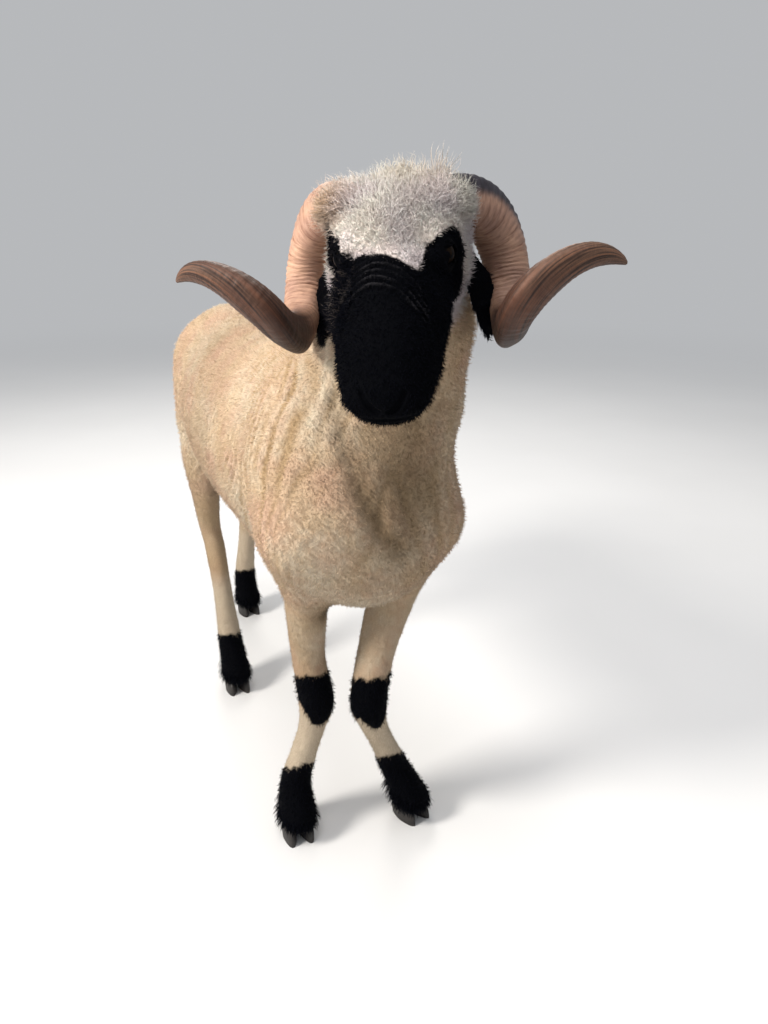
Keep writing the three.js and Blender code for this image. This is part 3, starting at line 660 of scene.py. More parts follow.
def coat_material(name, roughness, sheen, specular, grain, soften, through_light):
    # Shading leans from the locks' own to that of the skin below, by the amount soften.
    material, tree, shader = new_material(name)
    colour, _ = speckled(tree, shader, 900, 3, 0.7, [(0.3, grey(1 - grain)), (0.7, grey(1 + grain * 0.3))])
    set_inputs(shader, {"Roughness": roughness, "Sheen Weight": sheen, "Sheen Roughness": 0.5,
                        "Specular IOR Level": specular})
    lay = add(tree, "ShaderNodeAttribute", attribute_name="lay")
    own = add(tree, "ShaderNodeNewGeometry")
    mix = add(tree, "ShaderNodeMix", data_type="VECTOR")
    mix.inputs["Factor"].default_value = soften
    link(tree, own.outputs["Normal"], mix.inputs["A"])
    link(tree, lay.outputs["Vector"], mix.inputs["B"])
    even = add(tree, "ShaderNodeVectorMath", operation="NORMALIZE")
    link(tree, mix.outputs["Result"], even.inputs[0])
    link(tree, even.outputs["Vector"], shader.inputs["Normal"])
    if through_light:
        # Thin wool lets some light through, which fills the shadows between the locks.
        glow = add(tree, "ShaderNodeBsdfTranslucent")
        link(tree, colour, glow.inputs["Color"])
        show(tree, shader.outputs["BSDF"], glow.outputs["BSDF"], through_light)
    return material


def skin_material():
    material, tree, shader = new_material("skin_under_wool")
    _, fine = speckled(tree, shader, 420, 5, 0.7, [(0.25, grey(0.8)), (0.75, grey(1.05))])
    set_inputs(shader, {"Roughness": 0.75, "Specular IOR Level": 0.03})
    bump_node(tree, shader, fine, 0.6, 0.002)
    return material


def scaled(tree, vector, scale):
    mapping = add(tree, "ShaderNodeMapping")
    mapping.inputs["Scale"].default_value = scale
    link(tree, vector, mapping.inputs["Vector"])
    return mapping.outputs["Vector"]


def horn_material():
    # The mesh's own map runs along the horn in x and round it in y, both in metres.
    material, tree, shader = new_material("horn")
    run = add(tree, "ShaderNodeUVMap", uv_map="along").outputs["UV"]

    def stretched(x, y, scale, detail):
        return noise_node(tree, scale, detail, 0.65, scaled(tree, run, (x, y, 1))).outputs["Fac"]

    cross = stretched(1.0, 0.12, 260, 5)
    streak = stretched(0.05, 1.0, 210, 5)
    patch = stretched(0.5, 1.0, 32, 3)
    scratch = stretched(1.0, 0.4, 90, 8)
    lines = ramp_node(tree, cross, [(0.32, (0.42, 0.30, 0.24)), (0.5, grey(0.95)), (0.7, grey(1.06))])
    streaks = ramp_node(tree, streak, [(0.41, (0.10, 0.07, 0.06)), (0.49, grey(0.8)),
                                       (0.62, (1.5, 1.25, 1.05))])
    clouds = ramp_node(tree, patch, [(0.35, (0.78, 0.72, 0.72)), (0.65, (1.16, 1.12, 1.05))])
    ends = add(tree, "ShaderNodeAttribute", attribute_name="outer")
    both = add(tree, "ShaderNodeMix", data_type="RGBA")
    link(tree, ends.outputs["Fac"], both.inputs["Factor"])
    link(tree, lines.outputs["Color"], both.inputs["A"])
    link(tree, streaks.outputs["Color"], both.inputs["B"])
    colour = multiply(tree, tint_of(tree), both.outputs["Result"], 0.85)
    colour = multiply(tree, colour, clouds.outputs["Color"])
    link(tree, colour, shader.inputs["Base Color"])
    rough = ramp_node(tree, scratch, [(0.3, grey(0.46)), (0.7, grey(0.66))])
    link(tree, rough.outputs["Color"], shader.inputs["Roughness"])
    shader.inputs["Specular IOR Level"].default_value = 0.3
    height = add(tree, "ShaderNodeMath", operation="ADD")
    link(tree, cross, height.inputs[0])
    link(tree, scratch, height.inputs[1])
    bump_node(tree, shader, height.outputs["Value"], 0.6, 0.002)
    return material


def claw_material():
    material, tree, shader = new_material("claw")
    across = scaled(tree, object_place(tree), (0.25, 0.25, 1))
    rings = noise_node(tree, 260, 4, 0.6, across).outputs["Fac"]
    tone = ramp_node(tree, rings, [(0.3, (0.007, 0.006, 0.006)), (0.7, (0.026, 0.021, 0.018))])
    link(tree, tone.outputs["Color"], shader.inputs["Base Color"])
    shader.inputs["Roughness"].default_value = 0.55
    bump_node(tree, shader, rings, 0.5, 0.0012)
    return material


def eye_material():
    material, tree, shader = new_material("eye")
    speckled(tree, shader, 700, 3, 0.6, [(0.3, grey(0.7)), (0.7, grey(1.15))])
    set_inputs(shader, {"Roughness": 0.3, "Specular IOR Level": 0.03, "Coat Weight": 0.01,
                        "Coat Roughness": 0.05})
    return material


# Mesh helpers.
def mesh_object(name, points, faces, material):
    mesh = bpy.data.meshes.new(name)
    if isinstance(faces, np.ndarray):
        count, sides = faces.shape
        mesh.vertices.add(len(points))
        mesh.vertices.foreach_set("co", np.ascontiguousarray(points, np.float32).ravel())
        mesh.loops.add(count * sides)
        mesh.loops.foreach_set("vertex_index", np.ascontiguousarray(faces, np.int32).ravel())
        mesh.polygons.add(count)
        mesh.polygons.foreach_set("loop_start", np.arange(0, count * sides, sides, dtype=np.int32))
        mesh.update(calc_edges=True)
    else:
        mesh.from_pydata(np.asarray(points).tolist(), [], faces)
        mesh.update()
    mesh.validate()
    mesh.polygons.foreach_set("use_smooth", np.full(len(mesh.polygons), True))
    mesh.materials.append(material)
    piece = bpy.data.objects.new(name, mesh)
    bpy.context.collection.objects.link(piece)
    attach(piece, "root")
    return piece


def read(rows, name, width, kind=np.float32):
    # One property of every row, as an array.
    values = np.empty(len(rows) * width, kind)
    rows.foreach_get(name, values)
    return values.reshape(-1, width) if width > 1 else values


def ring_faces(rings, around, start, end):
    # Quads between rings of points, and a fan to the point at each end.
    faces = []
    for i in range(rings - 1):
        for j in range(around):
            a, b = i * around + j, i * around + (j + 1) % around
            faces.append((a, b, b + around, a + around))
    last = (rings - 1) * around
    faces += [(start, (j + 1) % around, j) for j in range(around)]
    faces += [(end, last + j, last + (j + 1) % around) for j in range(around)]
    return faces


def reversed_faces(faces):
    return [face[::-1] for face in faces]


def set_colour(piece, colours):
    layer = piece.data.color_attributes.new("tint", "FLOAT_COLOR", "POINT")
    full = np.ones((len(colours), 4), np.float32)
    full[:, :3] = colours
    layer.data.foreach_set("color", full.ravel())


def set_value(piece, values, name):
    layer = piece.data.attributes.new(name, "FLOAT", "POINT")
    layer.data.foreach_set("value", np.asarray(values, np.float32))


def set_vector(piece, values, name):
    layer = piece.data.attributes.new(name, "FLOAT_VECTOR", "POINT")
    layer.data.foreach_set("vector", np.asarray(values, np.float32).ravel())


# Markings, with painted shade and light: how black a point is, and what colours root and tip of a lock take
# there.
# The edge of the black on the cheeks: z, and the y of the edge on the left and on the right.
CHEEK = np.array([[-130, -60, -60], [-110, -30, -30], [-92, -7, -7], [-63, 10, 9], [-47, 15, 16],
                  [-32, 12, 14], [-20, 17, 10], [-9, 25, 4], [3, 27, -8], [10, 27, -20],
                  [24, 27, 60], [34, 60, 60]])
# Heights of the black on the legs: boots, knees and hocks, with how much they change towards the front.
BOOT_TOP, BOOT_RISE = 116, {"fore": 20, "hind": 7}
KNEE = dict(low=246, dip=46, high=288, rise=14)
HOCK = dict(middle=348, half=30)
# Only points below this height take a leg's black, and the forelegs' lie ahead of this y.
LEG_TOP, FORE_END = 400, 300


def on_outline(q):
    # The nearest points on the outline of the head, where the markings are laid out.
    value = bare_head(q)
    step = np.eye(3, dtype=np.float32)
    slope = np.stack([bare_head(q + way) - value for way in step], 1)
    return q - slope * (value / np.maximum((slope ** 2).sum(1), 0.2))[:, None]


def face_edge(q):
    # How far back the black of the face reaches.
    brow = np.interp(q[:, 0], BROW[:, 0], BROW[:, 1])
    cheek = [np.interp(q[:, 2], CHEEK[:, 0], CHEEK[:, i]) for i in (1, 2)]
    return np.minimum(brow, np.where(q[:, 0] > 0, *cheek))


def leg_front(p, stations):
    # How far a point lies towards the front of its leg, one at the skin.
    _, y, _, fore = through(leg_rows(stations), -p[:, 2]).T
    return -(p[:, 1] - y) / fore


def face_black(inner, rag):
    q = on_outline(inner)
    face = smooth_step(face_edge(q) - q[:, 1] + rag, -2, 2)
    face = face * smooth_step(-(bare_head(inner) - 16), 0, 4)
    for _, s in SIDES:
        patch = oval(q, [s * 68, 1, 3], [21, 25, 24])
        if s < 0:
            patch = np.minimum(patch, oval(q, [-80, 28, -3], [21, 27, 21]))
        face = np.maximum(face, smooth_step(-patch + 0.6 * rag, -1.5, 1.5))
        face = np.maximum(face, smooth_step(-(ear_value(inner, s) - 4), -1, 2))
    return face


def black_of(p):
    ragged = 2.6 * noise(p, 9, 3) + 1.6 * noise(p, 3.5, 4)
    black = np.zeros(len(p), np.float32)
    near = beside_head(p)
    if near.any():
        black[near] = face_black(to_head(p[near]), ragged[near])
    below = p[:, 2] < LEG_TOP
    for name, stations in LEGS.items():
        pair, label = name.split("_")
        if pair == "fore":
            middle = through(leg_rows(stations), -p[:, 2])[:, 0]
            part = below & (p[:, 1] < FORE_END) & (np.abs(p[:, 0] - middle) < 48)
        else:
            part = below & (p[:, 1] >= FORE_END) & ((p[:, 0] > 0) == (label == "left"))
        if not part.any():
            continue
        z = p[part, 2]
        front = leg_front(p[part], stations)
        rag = ragged[part] * 1.5
        boot = smooth_step(BOOT_TOP + BOOT_RISE[pair] * front - z + rag, -2, 2)
        if pair == "fore":
            low = KNEE["low"] - KNEE["dip"] * np.clip(front, 0, 1) ** 1.5
            high = KNEE["high"] + KNEE["rise"] * front
            spot = smooth_step(z - low + rag, -2, 2) * smooth_step(high - z + rag, -2, 2)
            spot = spot * smooth_step(front + rag * 0.03, -0.5, -0.3)
        else:
            spot = smooth_step(HOCK["half"] - np.abs(z - HOCK["middle"]) + rag, -2, 2)
            spot = spot * smooth_step(-front + rag * 0.03, 0.45, 0.6)
        black[part] = np.maximum(black[part], np.maximum(boot, spot))
    return black


CREAM = np.array([0.80, 0.60, 0.40])
PINK = np.array([0.76, 0.50, 0.36])
PALE = np.array([0.88, 0.74, 0.56])
# A straw brown, used for soiling and for painted shade: in the folds, the hollow of the neck, on the breast
# and in the armpit.
STRAW_AND_SHADE = np.array([0.60, 0.42, 0.24])
CROWN = np.array([0.97, 0.86, 0.78])
CROWN_TOP = np.array([0.93, 0.77, 0.61])
LILAC = np.array([0.90, 0.80, 0.83])
GOLD = np.array([0.58, 0.36, 0.15])
# Black roots are painted darker than black tips, as shade deep in the coat.
BLACK_ROOT = np.array([0.0010, 0.0012, 0.0022])
BLACK_TIP = np.array([0.0028, 0.0033, 0.0062])
# Painted highlight: grey on the ridges of the face's wrinkles.
RIDGE_HIGHLIGHT = np.array([0.024, 0.023, 0.026])
GREY_TIP = np.array([0.15, 0.125, 0.11])
POUCH_SKIN = np.array([0.055, 0.035, 0.030])
# Where colours change on the body and on the head: the middle, and how far they reach.
# Painted shade in the armpit.
ARMPIT_SHADE = ((-50.0, -22.0, 414.0), 22)
# Painted shade, with some straw staining, on the breast below the head.
BREAST_STAIN_AND_SHADE = ((24.0, -140.0, 640.0), (60, 80, 120))
SMUDGE = ((-78.0, 415.0, 742.0), 42)
TOP_PATCH = ((20, 100, 46), 42)
GOLD_PATCH = ((-69, 62, 24), 21)
GREY_CHEEK = ((-58, -34, -26), (27, 46, 42))
# Where the wool of cheek, crown and neck grows long.
LONG_CHEEK = ((-60, -40, -34), (25, 46, 44))
PEAK = ((28, 98, 50), 42)
RUFF = ((104, -140, 842), 46)
# The hollow that runs down the neck's right side.
THROAT = np.array([[-66, -111, 734], [-63, -115, 706], [-54, -122, 672], [-43, -131, 637],
                   [-29, -137, 600], [-15, -141, 568], [8, -142, 545]])
THROAT_REACH = 15
THROAT_BOX = ((-110, 60), (-190, -40), (500, 780))


def nearness(p, middle, reach):
    # One at the middle, fading out over the reach.
    return np.exp(-(((p - np.array(middle)) / reach) ** 2).sum(1))


def fore_part(p):
    # One from the shoulder forwards.
    return smooth_step(220 - p[:, 1], 0, 120)


def nap_of(p):
    # Clumps of the shorn nap, about between -1 and 1.
    return 0.75 * noise(p, 6.5, 51) + 0.45 * noise(p, 3.6, 52)


def throat(p):
    # One along the hollow that runs down the neck's right side on to the breast.
    value = np.zeros(len(p), np.float32)
    near = within(p, THROAT_BOX)
    away = tube_value(p[near], THROAT, np.zeros(len(THROAT)))
    value[near] = np.exp(-(away / THROAT_REACH) ** 2)
    return value


def mixed(a, b, t):
    return a + (b - a) * np.clip(t, 0, 1)[:, None]


def colours_of(p, black):
    # Colours at root and tip; roots are painted darker, as shade deep in the coat.
    q = to_head(p)
    broad = noise(p, 90, 11)
    middle = noise(p, 28, 12)
    small = noise(p, 8, 13)
    nap = nap_of(p)
    wool = np.tile(CREAM, (len(p), 1))
    wool = mixed(wool, PINK, 0.35 + 0.6 * middle)
    wool = mixed(wool, PALE, 0.25 + 0.8 * broad + 0.4 * small)
    # Towards the bottom the wool is darker and yellower: partly soiling, partly painted shade.
    low = smooth_step(560 - p[:, 2], 0, 160)
    # Painted shade: the valleys of the folds are made darker and browner, more so on the forepart.
    valley_shade = -np.minimum(fold_wave(p), 0)
    wool = mixed(wool, STRAW_AND_SHADE, 0.4 * low + 0.3 * noise(p, 45, 14) + (0.4 + 0.7 * fore_part(p)) * valley_shade)
    wool = mixed(wool, STRAW_AND_SHADE * 0.8, 0.45 * nearness(p, *SMUDGE))
    # The breast is darker from staining and painted shade; the hollow down the neck is darker as painted
    # shade.
    wool = mixed(wool, STRAW_AND_SHADE * 0.55, 0.85 * nearness(p, *BREAST_STAIN_AND_SHADE) + 0.5 * throat(p))
    # Painted shade in the armpit, between foreleg and chest.
    wool = mixed(wool, STRAW_AND_SHADE * 0.3, 0.95 * nearness(p, *ARMPIT_SHADE))
    white = smooth_step(262 - p[:, 2], 0, 50)
    wool = mixed(wool, PALE, white * 0.8)
    # Painted shade: the middle of the flank is made darker, and the lower body darker still.
    flank = smooth_step(p[:, 1], 160, 300) * (1 - smooth_step(p[:, 1], 460, 600))
    wool = wool * (1 - 0.22 * low[:, None] - 0.15 * flank[:, None])
    near = beside_head(p)
    crown = np.zeros(len(p), np.float32)
    crown[near] = smooth_step(-(bare_head(q[near]) - 16), 0, 12)
    head = mixed(np.tile(CROWN, (len(p), 1)), LILAC, 0.35 + 0.9 * noise(p, 30, 15))
    head = mixed(head, CROWN_TOP, 0.75 * nearness(q, *TOP_PATCH))
    head = mixed(head, GOLD, 0.9 * nearness(q, *GOLD_PATCH))
    wool = wool * (1 - crown[:, None]) + head * crown[:, None]
    pouch = smooth_step(14 - chain(p, POUCH, POUCH_JOIN), 0, 6) * smooth_step(505 - p[:, 2], 0, 25)
    wool = mixed(wool, POUCH_SKIN, pouch)
    # Painted shade: the roots are darker than the tips.
    root = wool * (0.74 + 0.12 * crown[:, None])
    # Tips are lighter on the raised clumps of the nap: painted light, with some random speckle.
    light = (0.08 * small + 0.2 * nap) * (1 - 0.6 * crown)
    tip = wool * (1.04 + light[:, None])
    root = mixed(root, BLACK_ROOT, black)
    tip = mixed(tip, BLACK_TIP, black)
    # Painted highlight: the ridges of the wrinkles on the black face are made grey, as light catching them.
    ridge = np.zeros(len(p), np.float32)
    ridge[near] = smooth_step(-wrinkles(q[near]), 1.2, 2.2)
    root = mixed(root, RIDGE_HIGHLIGHT * 0.8, ridge * black)
    tip = mixed(tip, RIDGE_HIGHLIGHT, ridge * black)
    cheek = nearness(q, *GREY_CHEEK)
    speck = smooth_step(noise(p, 2.2, 41) + 0.5 * noise(p, 9, 42), 0.2, 0.7)
    tip = mixed(tip, GREY_TIP, 0.85 * cheek * speck * black)
    return root, np.clip(tip, 0, 0.92)


# Skin: nets on a grid, finer on the head, finest round eyes, nose and mouth.
STEP = 4.0
GRID = ([-215, -400, -5], [215, 890, 1060])
# Distances within which faces are split once for the head and once more for eyes, nose and mouth,
# and within which the head's points are settled again.
FINER_WITHIN, FINEST_WITHIN, HEAD_REACH = 9, 3, 14
# The skin below the coat takes the painted shade of the roots, a little darker still.
SKIN_SHADE = 0.95


def edge_keys(faces, total):
    # One number for each edge of each face, the same from either side.
    after = np.roll(faces, -1, -1)
    return np.minimum(faces, after) * total + np.maximum(faces, after)


def split_faces(points, quads, others, chosen):
    # Splits the chosen quads in four; their neighbours take the new corners into their outline.
    total = len(points)
    part, rest = quads[chosen], quads[~chosen]
    known, back = np.unique(edge_keys(part, total).T, return_inverse=True)
    middles = points[np.stack([known // total, known % total], 1)].mean(1)
    centres = points[part].mean(1)
    middle_at = (total + back).reshape(4, len(part)).T
    centre_at = total + len(known) + np.arange(len(part))
    fresh = np.concatenate([np.stack(
        [part[:, i], middle_at[:, i], centre_at, middle_at[:, i - 1]], 1) for i in range(4)])
    touched = np.isin(edge_keys(rest, total), known).any(1)
    grown = []
    for corners in list(rest[touched]) + [np.array(face) for face in others]:
        outline = []
        for corner, key in zip(corners, edge_keys(corners, total)):
            outline.append(int(corner))
            at = int(np.searchsorted(known, key))
            if at < len(known) and known[at] == key:
                outline.append(total + at)
        grown.append(tuple(outline))
    return (np.concatenate([points, middles, centres]).astype(np.float32),
            np.concatenate([rest[~touched], fresh]), grown)


def by_head(p, field):
    # A field of the head, worked out only near it.
    value = np.full(len(p), FAR, np.float32)
    near = beside_head(p)
    value[near] = field(to_head(p[near]))
    return value


def ears_value(q):
    return np.minimum(*[ear_value(q, s) for _, s in SIDES])


def head_nearness(p):
    return by_head(p, lambda q: np.minimum(bare_head(q), ears_value(q)))


def fine_value(q):
    # Distance from eyes, nostrils and mouth.
    best = np.full(len(q), FAR, np.float32)
    for _, s in SIDES:
        best = np.minimum(best, eye_distance(q, s) - 20)
    for points, radii in GROOVES:
        best = np.minimum(best, tube_value(q, points, radii) - 3)
    return best


def fine_nearness(p):
    return by_head(p, fine_value)


# Folds of the hide: the pitches of two waves that add up, and the height.
FOLDS = dict(pitch=21, second=13.5, height=2.8)
# The chest is round ahead of this y, with this radius, and the folds run round it.
CHEST_FRONT = 60
CHEST_ROUND = 147


def fold_wave(p):
    # Soft ridges and deeper valleys that hang down flank, shoulder and chest; the hide is flat at zero.
    round_front = np.arctan2(np.abs(p[:, 0]), CHEST_FRONT - p[:, 1]) * CHEST_ROUND
    flank = CHEST_ROUND * np.pi / 2 + p[:, 1] - CHEST_FRONT
    run = np.where(p[:, 1] < CHEST_FRONT, round_front, flank)
    run = run + 15 * np.sin(p[:, 2] / 85.0 + 0.6) + 32 * noise(p, 130, 21) + 9 * noise(p, 44, 22)
    run = run + 0.22 * (p[:, 2] - 600)
    wave = np.sin(run * 2 * np.pi / FOLDS["pitch"])
    wave = wave + 0.35 * np.sin(run * 2 * np.pi / FOLDS["second"] + 1) - 0.25
    strength = 0.42 + 1.0 * noise(p, 60, 23) + 0.45 * noise(p, 26, 24)
    strength = strength + 0.3 * fore_part(p)
    chest = smooth_step(p[:, 1], -110, -10)
    high = smooth_step(p[:, 2], 430, 560) * (1 - smooth_step(p[:, 2], 800, 880))
    return wave * np.clip(strength, 0.1, 1.1) * high * (0.35 + 0.65 * chest)


def fold_height(p, normal):
    folds = FOLDS["height"] * fold_wave(p) * smooth_step(1 - np.abs(normal[:, 2]), 0.4, 0.85)
    woolly = (0.4 + 0.6 * smooth_step(p[:, 2], 400, 470)) * smooth_step(head_nearness(p), 4, 20)
    woolly = woolly * smooth_step(p[:, 2], 40, 110)
    return folds + 1.5 * nap_of(p) * woolly - 6 * throat(p)


def build_skin():
    values, low = sparse_grid(skin_value, *GRID, STEP)
    points, quads = surface_nets(values, low, STEP)
    points = settle(skin_value, points, 1)
    others = []
    for nearby, reach in ((head_nearness, FINER_WITHIN), (fine_nearness, FINEST_WITHIN)):
        chosen = nearby(points[quads].mean(1)) < reach
        points, quads, others = split_faces(points, quads, others, chosen)
    on_head = head_nearness(points) < HEAD_REACH
    points[on_head] = settle(skin_value, points[on_head], 3)
    piece = mesh_object("skin", place(points), quads.tolist() + others, skin_material())
    normals = read(piece.data.vertices, "normal", 3)
    points = points + normals * fold_height(points, normals)[:, None]
    piece.data.vertices.foreach_set("co", place(points).astype(np.float32).ravel())
    piece.data.update()
    root, _ = colours_of(points, black_of(points))
    set_colour(piece, root * SKIN_SHADE)
    names = ["torso", "neck", "head", "muzzle", "tail", "scrotum"]
    names += [f"ear_{label}" for label, _ in SIDES]
    names += [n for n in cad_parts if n.split("_")[0] in ("fore", "hind") and "claw" not in n]
    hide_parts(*names)
    return piece


def unwrap(piece):
    bpy.ops.object.select_all(action="DESELECT")
    bpy.context.view_layer.objects.active = piece
    piece.select_set(True)
    piece.data.uv_layers.new(name="OFBake")
    bpy.ops.object.mode_set(mode="EDIT")
    bpy.ops.mesh.select_all(action="SELECT")
    bpy.ops.uv.smart_project(angle_limit=1.15, island_margin=0.002)
    bpy.ops.object.mode_set(mode="OBJECT")


# Coat: small tapered locks, each with a patch of the skin's own map at its root.
PATCH = 0.0015
# The wisp on top of the head stands up and leans to the animal's left.
WISP_WAY = (0.38, -0.12, 0.92)
# The fleece lies down and a little to the back.
HAIR_DOWN = (0, 0.35, -1)
WISP_AT, WISP_REACH = (44, 95, 43), 12
# Shape of a lock: where its last ring lies, how far it turns and drifts, its taper and flatness,
# how soon it takes the colour of its tip, and how much its patch of the map narrows.
LOCK = dict(last_ring=0.75, turn=2.2, drift=0.45, taper=0.72, flat=0.7, colour=1.25, patch=0.85)
# Spots on each face of the skin, and how far from its middle they slide towards a corner.
SPOTS_EACH, SLIDE = 5, 0.6
# Cells of the thinning grid are counted from a shifted edge, with room for this many along a side.
CELL_SHIFT, CELL_START, CELL_ROOM = 0.37, 4000, 8192
# Heights up to which the coats of legs, of pouch and of the fringe over the claws reach.
LEG_COAT_TOP, POUCH_TOP, FRINGE_TOP = 430, 500, 62


def lock_pattern(rings):
    faces = []
    for ring in range(rings - 1):
        for j in range(3):
            a, b = ring * 3 + j, ring * 3 + (j + 1) % 3
            faces += [(a, b, b + 3), (a, b + 3, a + 3)]
    tip = rings * 3
    last = (rings - 1) * 3
    faces += [(last + j, last + (j + 1) % 3, tip) for j in range(3)]
    return np.array(faces)


def unit_rows(v):
    return v / np.maximum(np.linalg.norm(v, axis=1)[:, None], 1e-6)


def make_locks(name, spots, way, long, wide, curl, rings, material, slot, sink):
    # spots holds point, normal, uv, root and tip colours; way is the direction of each lock.
    rng = np.random.default_rng(len(name) * 7 + len(spots["at"]))
    count = len(spots["at"])
    way = unit_rows(way)
    side = unit_rows(np.cross(way, rng.normal(size=(count, 3))))
    thick = np.cross(way, side)
    swing = rng.uniform(0, 2 * np.pi, count)
    bend = side * np.cos(swing)[:, None] + thick * np.sin(swing)[:, None]
    curl = np.broadcast_to(np.asarray(curl, np.float32), (count,))
    t = np.append(np.linspace(0, LOCK["last_ring"], rings) if rings > 1 else [0.0], 1.0)
    corners = np.empty((count, rings * 3 + 1, 3), np.float32)
    shade = np.empty((count, rings * 3 + 1, 3), np.float32)
    patch = np.empty((count, rings * 3 + 1, 2), np.float32)
    start = spots["at"] - spots["normal"] * sink
    for i, run in enumerate(t):
        turn = curl * run * LOCK["turn"]
        drift = bend * (np.sin(turn) * run)[:, None]
        middle = start + (way * run + drift * LOCK["drift"]) * (long + sink)[:, None]
        colour = spots["root"] + (spots["tip"] - spots["root"]) * min(run * LOCK["colour"], 1)
        if i == rings:
            corners[:, -1] = middle
            shade[:, -1] = colour
            patch[:, -1] = spots["uv"]
            break
        radius = wide * (1 - LOCK["taper"] * run ** 1.3) * (0.75 + 0.25 * min(run * 4, 1))
        for j in range(3):
            angle = j * 2 * np.pi / 3
            across = side * np.cos(angle) + thick * np.sin(angle) * LOCK["flat"]
            corners[:, i * 3 + j] = middle + across * radius[:, None]
            shade[:, i * 3 + j] = colour
            reach = PATCH * (1 - run * LOCK["patch"])
            patch[:, i * 3 + j] = spots["uv"] + reach * np.array([np.cos(angle), np.sin(angle)])
    pattern = lock_pattern(rings)
    faces = (pattern[None] + (np.arange(count) * (rings * 3 + 1))[:, None, None]).reshape(-1, 3)
    piece = mesh_object(name, place(corners.reshape(-1, 3)), faces, material)
    set_colour(piece, shade.reshape(-1, 3))
    lay = np.repeat(spots["normal"][:, None], rings * 3 + 1, 1)
    set_vector(piece, lay.reshape(-1, 3), "lay")
    layer = piece.data.uv_layers.new(name="OFBake")
    layer.data.foreach_set("uv", patch.reshape(-1, 2)[faces.ravel()].astype(np.float32).ravel())
    return piece


def skin_spots(skin):
    # Places with a normal and a map position, a few on every face of the skin.
    mesh = skin.data
    count = len(mesh.polygons)
    centre = read(mesh.polygons, "center", 3) * 1000 + HOME
    normal = read(mesh.polygons, "normal", 3)
    starts = read(mesh.polygons, "loop_start", 1, np.int32)
    uv = read(mesh.uv_layers["OFBake"].data, "uv", 2)
    corner = read(mesh.loops, "vertex_index", 1, np.int32)
    points = read(mesh.vertices, "co", 3) * 1000 + HOME
    rng = np.random.default_rng(5)
    middle_uv = (uv[starts] + uv[starts + 2]) / 2
    found = dict(at=[], normal=[], uv=[])
    for _ in range(SPOTS_EACH):
        slide = rng.uniform(0.0, SLIDE, (count, 1))
        other = starts + rng.integers(0, 3, count)
        found["at"].append(centre + (points[corner[other]] - centre) * slide)
        found["normal"].append(normal)
        found["uv"].append(middle_uv + (uv[other] - middle_uv) * slide)
    return {key: np.concatenate(value).astype(np.float32) for key, value in found.items()}


def thinned(spots, keep, cell, seed):
    # One spot in each cell of a grid, taken from those that are to be kept.
    rng = np.random.default_rng(seed)
    index = np.flatnonzero(keep)
    rng.shuffle(index)
    key = np.floor(spots["at"][index] / cell + CELL_SHIFT).astype(np.int64) + CELL_START
    key = (key[:, 0] * CELL_ROOM + key[:, 1]) * CELL_ROOM + key[:, 2]
    _, first = np.unique(key, return_index=True)
    index = np.sort(index[first])
    return {name: values[index] for name, values in spots.items()}


def chunks(name, spots, parts):
    # Splits spots from front to back, so that no piece grows too large.
    order = np.argsort(spots["at"][:, 1], kind="stable")
    for number, part in enumerate(np.array_split(order, parts), 1):
        yield f"{name}_{number}", {key: values[part] for key, values in spots.items()}


def along_skin(normal, way):
    # A direction laid down on the skin.
    return unit_rows(way - normal * (way * normal).sum(1)[:, None])


